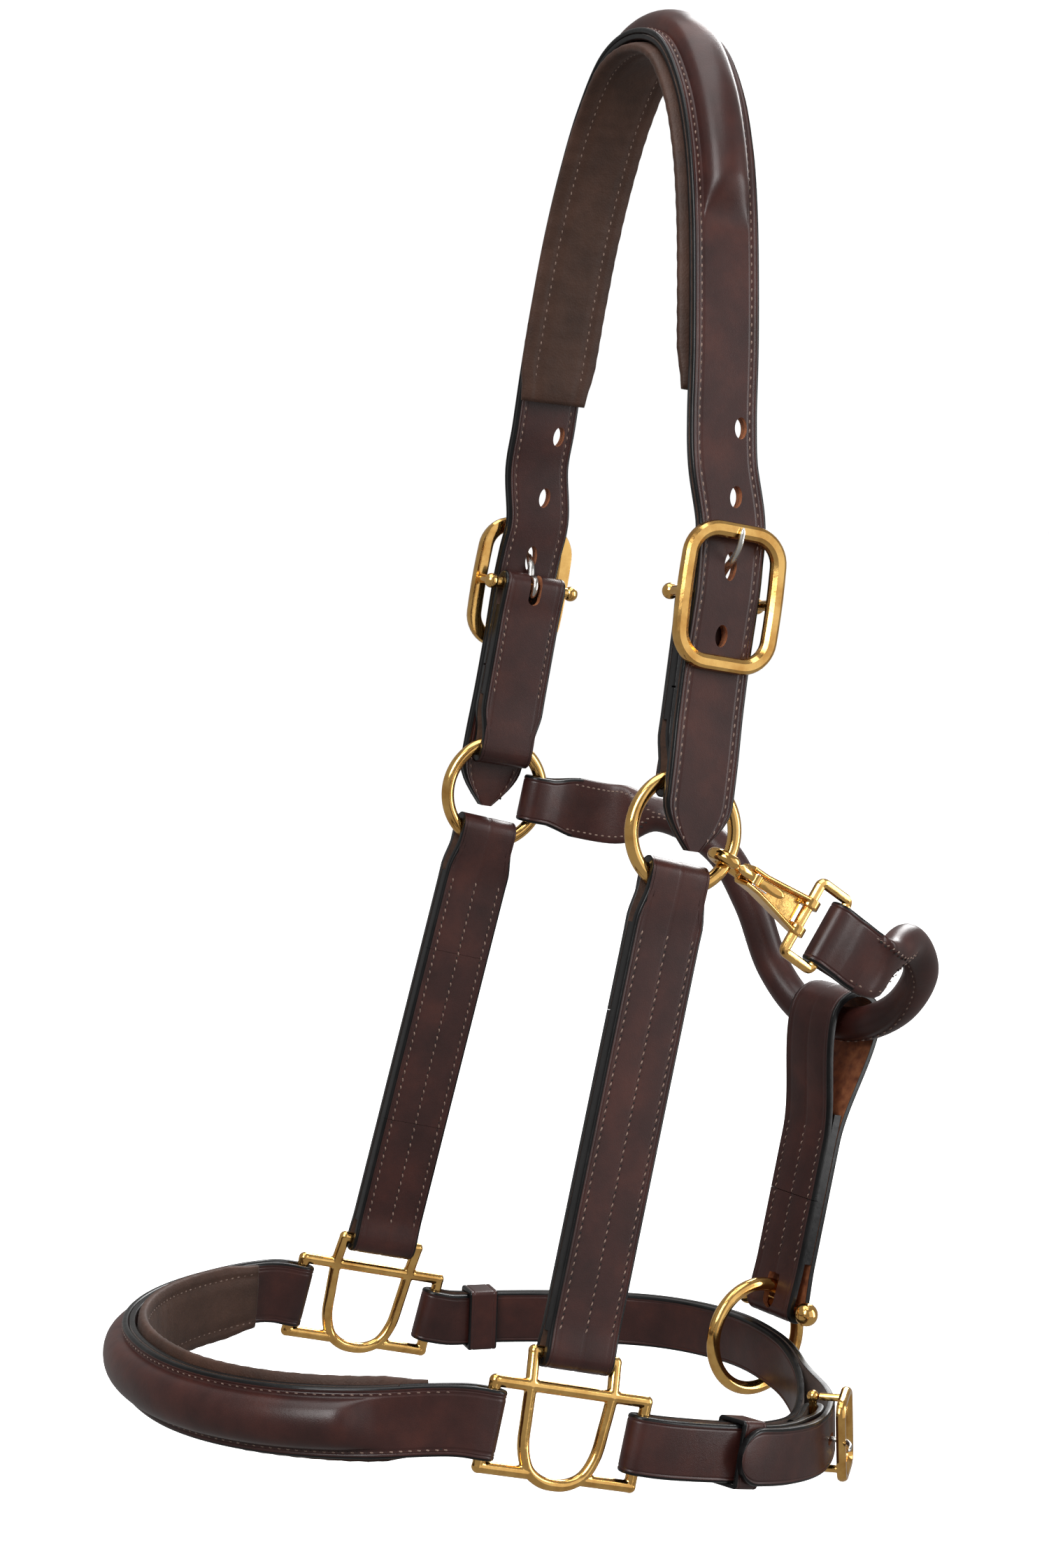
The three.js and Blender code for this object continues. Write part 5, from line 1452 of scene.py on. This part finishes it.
def throat_tab(shape, direction, fold_radius, width_at_bar):
    """A tab: the strap comes round the bar and lies back on itself."""
    start = 0 if direction > 0 else THROAT.length
    reach = start + direction * (TAB_FOLD_LENGTH + 2)

    def lift_at(distance):
        return layer_offset(abs(distance - start), fold_radius, TAB_APART, TAB_FOLD_LENGTH)

    def widths_of(distances):
        return [lerp(width_at_bar, TAB_WIDTH, smooth(abs(d - start), 4, 18)) for d in distances]

    upper = THROAT.stations(reach, start, 1.5, lift_at)
    lower = [flipped(s) for s in THROAT.stations(start, reach, 1.5, lambda d: -lift_at(d))]
    turn = bar_turn(upper[-1], fold_radius, -direction)
    widths = widths_of(np.linspace(reach, start, len(upper))) + [width_at_bar] * len(turn)
    widths += widths_of(np.linspace(start, reach, len(lower)))
    sections = [strap_section(width, LEATHER) for width in widths]
    return shape.strap(upper + turn + lower, sections.__getitem__)


def roundness(distance):
    """From 0, where the latch is a flat tab, to 1, where it is rolled."""
    far = smooth(distance, FAR_ROLL_START - 20, FAR_ROLL_START + 4)
    near = smooth(THROAT.length - distance, NEAR_ROLL_END - 16, NEAR_ROLL_END + 6)
    return min(far, near)


def roll_section(distance):
    """The latch's section, with the seam's groove along its inner side."""
    sides = 56
    part = roundness(distance)
    width = lerp(TAB_WIDTH / 2, ROLL_RADIUS, smooth(part, 0, 0.9))
    height = lerp(LEATHER + LAYER_GAP / 2, ROLL_RADIUS, part)
    section = circle(width, height, sides, lerp(7, 2, smooth(part, 0, 0.5)))
    turn = np.abs((np.arange(sides) + 0.5) * 2 * math.pi / sides - math.pi)
    return section * (1 - 0.07 * np.exp(-((turn / 0.1) ** 2)) * part)[:, None]


def build_throat_latch():
    length = THROAT.length
    first, last = TAB_FOLD_LENGTH + 1, length - TAB_FOLD_LENGTH - 1
    stations = THROAT.stations(first, last, 1.8)
    sections = [roll_section(d) for d in np.linspace(first, last, len(stations))]
    shape = Shape().sweep(stations, sections, ["grain"] * len(sections[0]), cap="edge")
    throat_tab(shape, 1, FOLD_AT_RING + WIRE_EASE, TAB_WIDTH_AT_RING)
    throat_tab(shape, -1, SNAP_WIRE + CLEARANCE + LEATHER / 2, TAB_WIDTH)
    make_piece("throat_roll", "sewn", shape, "throat_latch")

    core = THROAT.stations(FAR_ROLL_START + 4, length - NEAR_ROLL_END - 4, 8)
    cord = Shape().sweep(core, [circle(2.5, 2.5, 12)] * len(core), ["flesh"] * 12, cap="flesh")
    make_piece("throat_core", "cord", cord, "throat_latch")
    build_throat_stitches()


def stitch_tab(stitches, start, end):
    """A fine row round a tab, on both its faces, that closes in where the tab is rolled."""
    for distance in np.arange(start, end, 2.2):
        part = roundness(distance)
        row = lerp(TAB_WIDTH / 2 - 2.6, 0.6, smooth(part, 0, 0.95))
        height = lerp(LEATHER + LAYER_GAP / 2, ROLL_RADIUS, part) - 0.1
        along = THROAT.along(distance)
        for across in (-row, row):
            face, back = THROAT.station(distance, height, across), THROAT.station(distance, -height, across)
            for station in (flipped(back), face):
                add_stitch(stitches, station, along, 1.3, 0.6, 0)


def stitch_seam(stitches, start, end):
    """The stitches that close the roll, in its groove."""
    angle = 0.14
    for distance in np.arange(start, end, 3.2):
        station = THROAT.station(distance)
        out = -math.cos(angle) * station.across + math.sin(angle) * station.out
        across = -math.sin(angle) * station.across - math.cos(angle) * station.out
        seam = Station(station.point + out * (ROLL_RADIUS - 0.1), across, out)
        add_stitch(stitches, seam, THROAT.along(distance), 1.3, 0.55, 0)


def build_throat_stitches():
    length = THROAT.length
    first, last = FAR_ROLL_START + 6, length - NEAR_ROLL_END - 6
    stitches = Shape()
    stitch_tab(stitches, TAB_FOLD_LENGTH, first)
    stitch_tab(stitches, last, length - TAB_FOLD_LENGTH)
    stitch_seam(stitches, first, last)
    make_stitches("throat_stitches", stitches, "throat_latch")


# ---------------------------------------------------------------- throat strap, bolt and chin ring


def throat_strap_frame():
    up = np.array(ROLL_BOTTOM, float) - BOLT_CENTRE
    return Frame(BOLT_CENTRE, up, (math.sin(THROAT_STRAP_TURN), -math.cos(THROAT_STRAP_TURN), 0))


def swung(frame):
    """The frame turned with the lead ring."""
    c, s = math.cos(CHIN_RING_SWING), math.sin(CHIN_RING_SWING)
    return Frame(frame.origin, c * frame.y - s * frame.z, s * frame.y + c * frame.z)


def build_throat_strap():
    frame = throat_strap_frame()
    rise = float(np.linalg.norm(np.subtract(ROLL_BOTTOM, BOLT_CENTRE)))
    top = Bar(rise + 1, THROAT_LOOP, 44)
    bottom = Bar(0, BOLT_RADIUS + CLEARANCE + LEATHER / 2, 16)
    meet = 40
    path = double_fold(top, bottom, 1, meet + SPLICE, meet - SPLICE, APART)
    rows = even_rows(THROAT_STRAP_WIDTH, 3)
    section = strap_section(THROAT_STRAP_WIDTH, LEATHER, rows, back="raw")
    strap = Shape().strap(fold_stations(frame, path, 1), lambda i: section)
    wire_height = BOLT_RADIUS + CLEARANCE + RING_WIRE
    outline = long_hole(2 * RING_WIRE + 1.2, 2 * RING_WIRE + 8)
    slit = punch(Shape(), swung(frame), outline, 18, wire_height - 2, 0)
    make_piece("throat_strap", "sewn", strap, "throat_drop", slit)
    low, high = 17, rise - THROAT_LOOP - 22
    fill_and_stitch(frame, THROAT_STRAP_WIDTH, rows, low, high, low + 1, "throat_drop",
                    "throat_strap_filler", "throat_strap_stitches")


def build_lead_ring():
    """The ring, and the ball-ended bolt that it hangs on."""
    frame = throat_strap_frame()
    bolt = buckle_bar(frame, THROAT_STRAP_WIDTH / 2 + BOLT_BALL, 0, BOLT_RADIUS, BOLT_BALL)
    make_piece("chin_ring_bolt", "turned", bolt, "throat_drop")
    hang = CHIN_RING_RADIUS - RING_WIRE - BOLT_RADIUS - CLEARANCE
    centre = frame.at(0, -hang * math.cos(CHIN_RING_SWING), hang * math.sin(CHIN_RING_SWING))
    circle_points = torus_points(centre, frame.y, frame.z, CHIN_RING_RADIUS)
    ring = Shape().tube(circle_points, RING_WIRE, "brass", 26, closed=True)
    make_piece("chin_ring", "turned", ring, "lead_ring")


# ---------------------------------------------------------------- stage, lights and camera


LIT_POINT = (0, -0.03, -0.24)


def aim(thing, place, target):
    thing.location = place
    thing.rotation_euler = (Vector(target) - Vector(place)).to_track_quat("-Z", "Y").to_euler()


def add_light(name, place, size, power):
    data = bpy.data.lights.new(name, "AREA")
    data.shape = "RECTANGLE"
    data.size, data.size_y = size
    data.energy = power
    light = bpy.data.objects.new(name, data)
    bpy.context.scene.collection.objects.link(light)
    aim(light, place, LIT_POINT)


def build_stage(floor_height):
    """A paper floor that the straps don't reflect."""
    reach = 30
    corners = [(x * reach, y * reach, floor_height) for x, y in ((-1, -1), (1, -1), (1, 1), (-1, 1))]
    mesh = bpy.data.meshes.new("floor")
    mesh.from_pydata(corners, [], [(0, 1, 2, 3)])
    paper = Finish("paper floor", roughness=0.9, specular_ior_level=0.1, emission_strength=0.72)
    paper.inputs["Emission Color"].default_value = (1, 1, 1, 1)
    paper.colour(paper.noise(3, 3), (0.3, (0.86, 0.86, 0.86)), (0.7, (0.9, 0.9, 0.9)))
    mesh.materials.append(paper.material)
    floor = make_object("floor", mesh)
    floor.visible_diffuse = False
    floor.visible_glossy = False


def build_world():
    """White behind the headcollar, but dim where the brass and leather reflect it."""
    world = bpy.data.worlds.new("studio")
    bpy.context.scene.world = world
    world.use_nodes = True
    tree = world.node_tree
    dim = tree.nodes["Background"]
    dim.inputs["Color"].default_value = (1, 0.98, 0.96, 1)
    dim.inputs["Strength"].default_value = 0.34
    white = tree.nodes.new("ShaderNodeBackground")
    white.inputs["Color"].default_value = (1, 1, 1, 1)
    white.inputs["Strength"].default_value = 1.05
    path = tree.nodes.new("ShaderNodeLightPath")
    mix = tree.nodes.new("ShaderNodeMixShader")
    tree.links.new(path.outputs["Is Camera Ray"], mix.inputs[0])
    tree.links.new(dim.outputs[0], mix.inputs[1])
    tree.links.new(white.outputs[0], mix.inputs[2])
    tree.links.new(mix.outputs[0], tree.nodes["World Output"].inputs["Surface"])


def build_lights():
    add_light("key", (1.2, -1.3, 0.9), (0.9, 1.3), 34)
    add_light("rim", (-0.9, 0.9, 0.7), (0.5, 1.2), 20)
    add_light("side", (0.9, 1.3, -0.1), (0.5, 1.5), 14)
    add_light("panel", (1.4, 0.66, 0.0), (1.3, 1.5), 3.6)
    add_light("top", (0.1, -0.1, 1.3), (1.4, 1.4), 18)


def build_camera():
    target = Vector((0, -0.051, -0.246))
    back = Vector((0.9098, -0.4051, 0.0901)).normalized()
    data = bpy.data.cameras.new("camera")
    data.sensor_fit = "HORIZONTAL"
    data.sensor_width = 36
    data.lens = 107.66
    data.dof.use_dof = False
    camera = bpy.data.objects.new("camera", data)
    bpy.context.scene.collection.objects.link(camera)
    aim(camera, target + back * 1.07, target)
    bpy.context.scene.camera = camera


# ---------------------------------------------------------------- the whole

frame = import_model()
cad_box = [list(corner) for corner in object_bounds()]
FINISHES = make_finishes()

build_camera()
build_world()
build_lights()
build_stage(cad_box[0][2] - 0.012)

for side, name in SIDES:
    build_ring(side, name)
    build_square(side, name)
    build_cheek(side, name)
    build_chape(side, name)
    build_buckle(side, name)
build_crown()
build_noseband()
build_chin_buckle(build_chin_strap())
build_keeper("keeper_near", 41, -3.6, 5.9)
build_keeper("keeper_far", CHIN.length - 20, -4.7, 4.6)
build_snap()
build_throat_latch()
build_throat_strap()
build_lead_ring()

bpy.context.scene.view_settings.view_transform = "Standard"
bpy.context.view_layer.update()
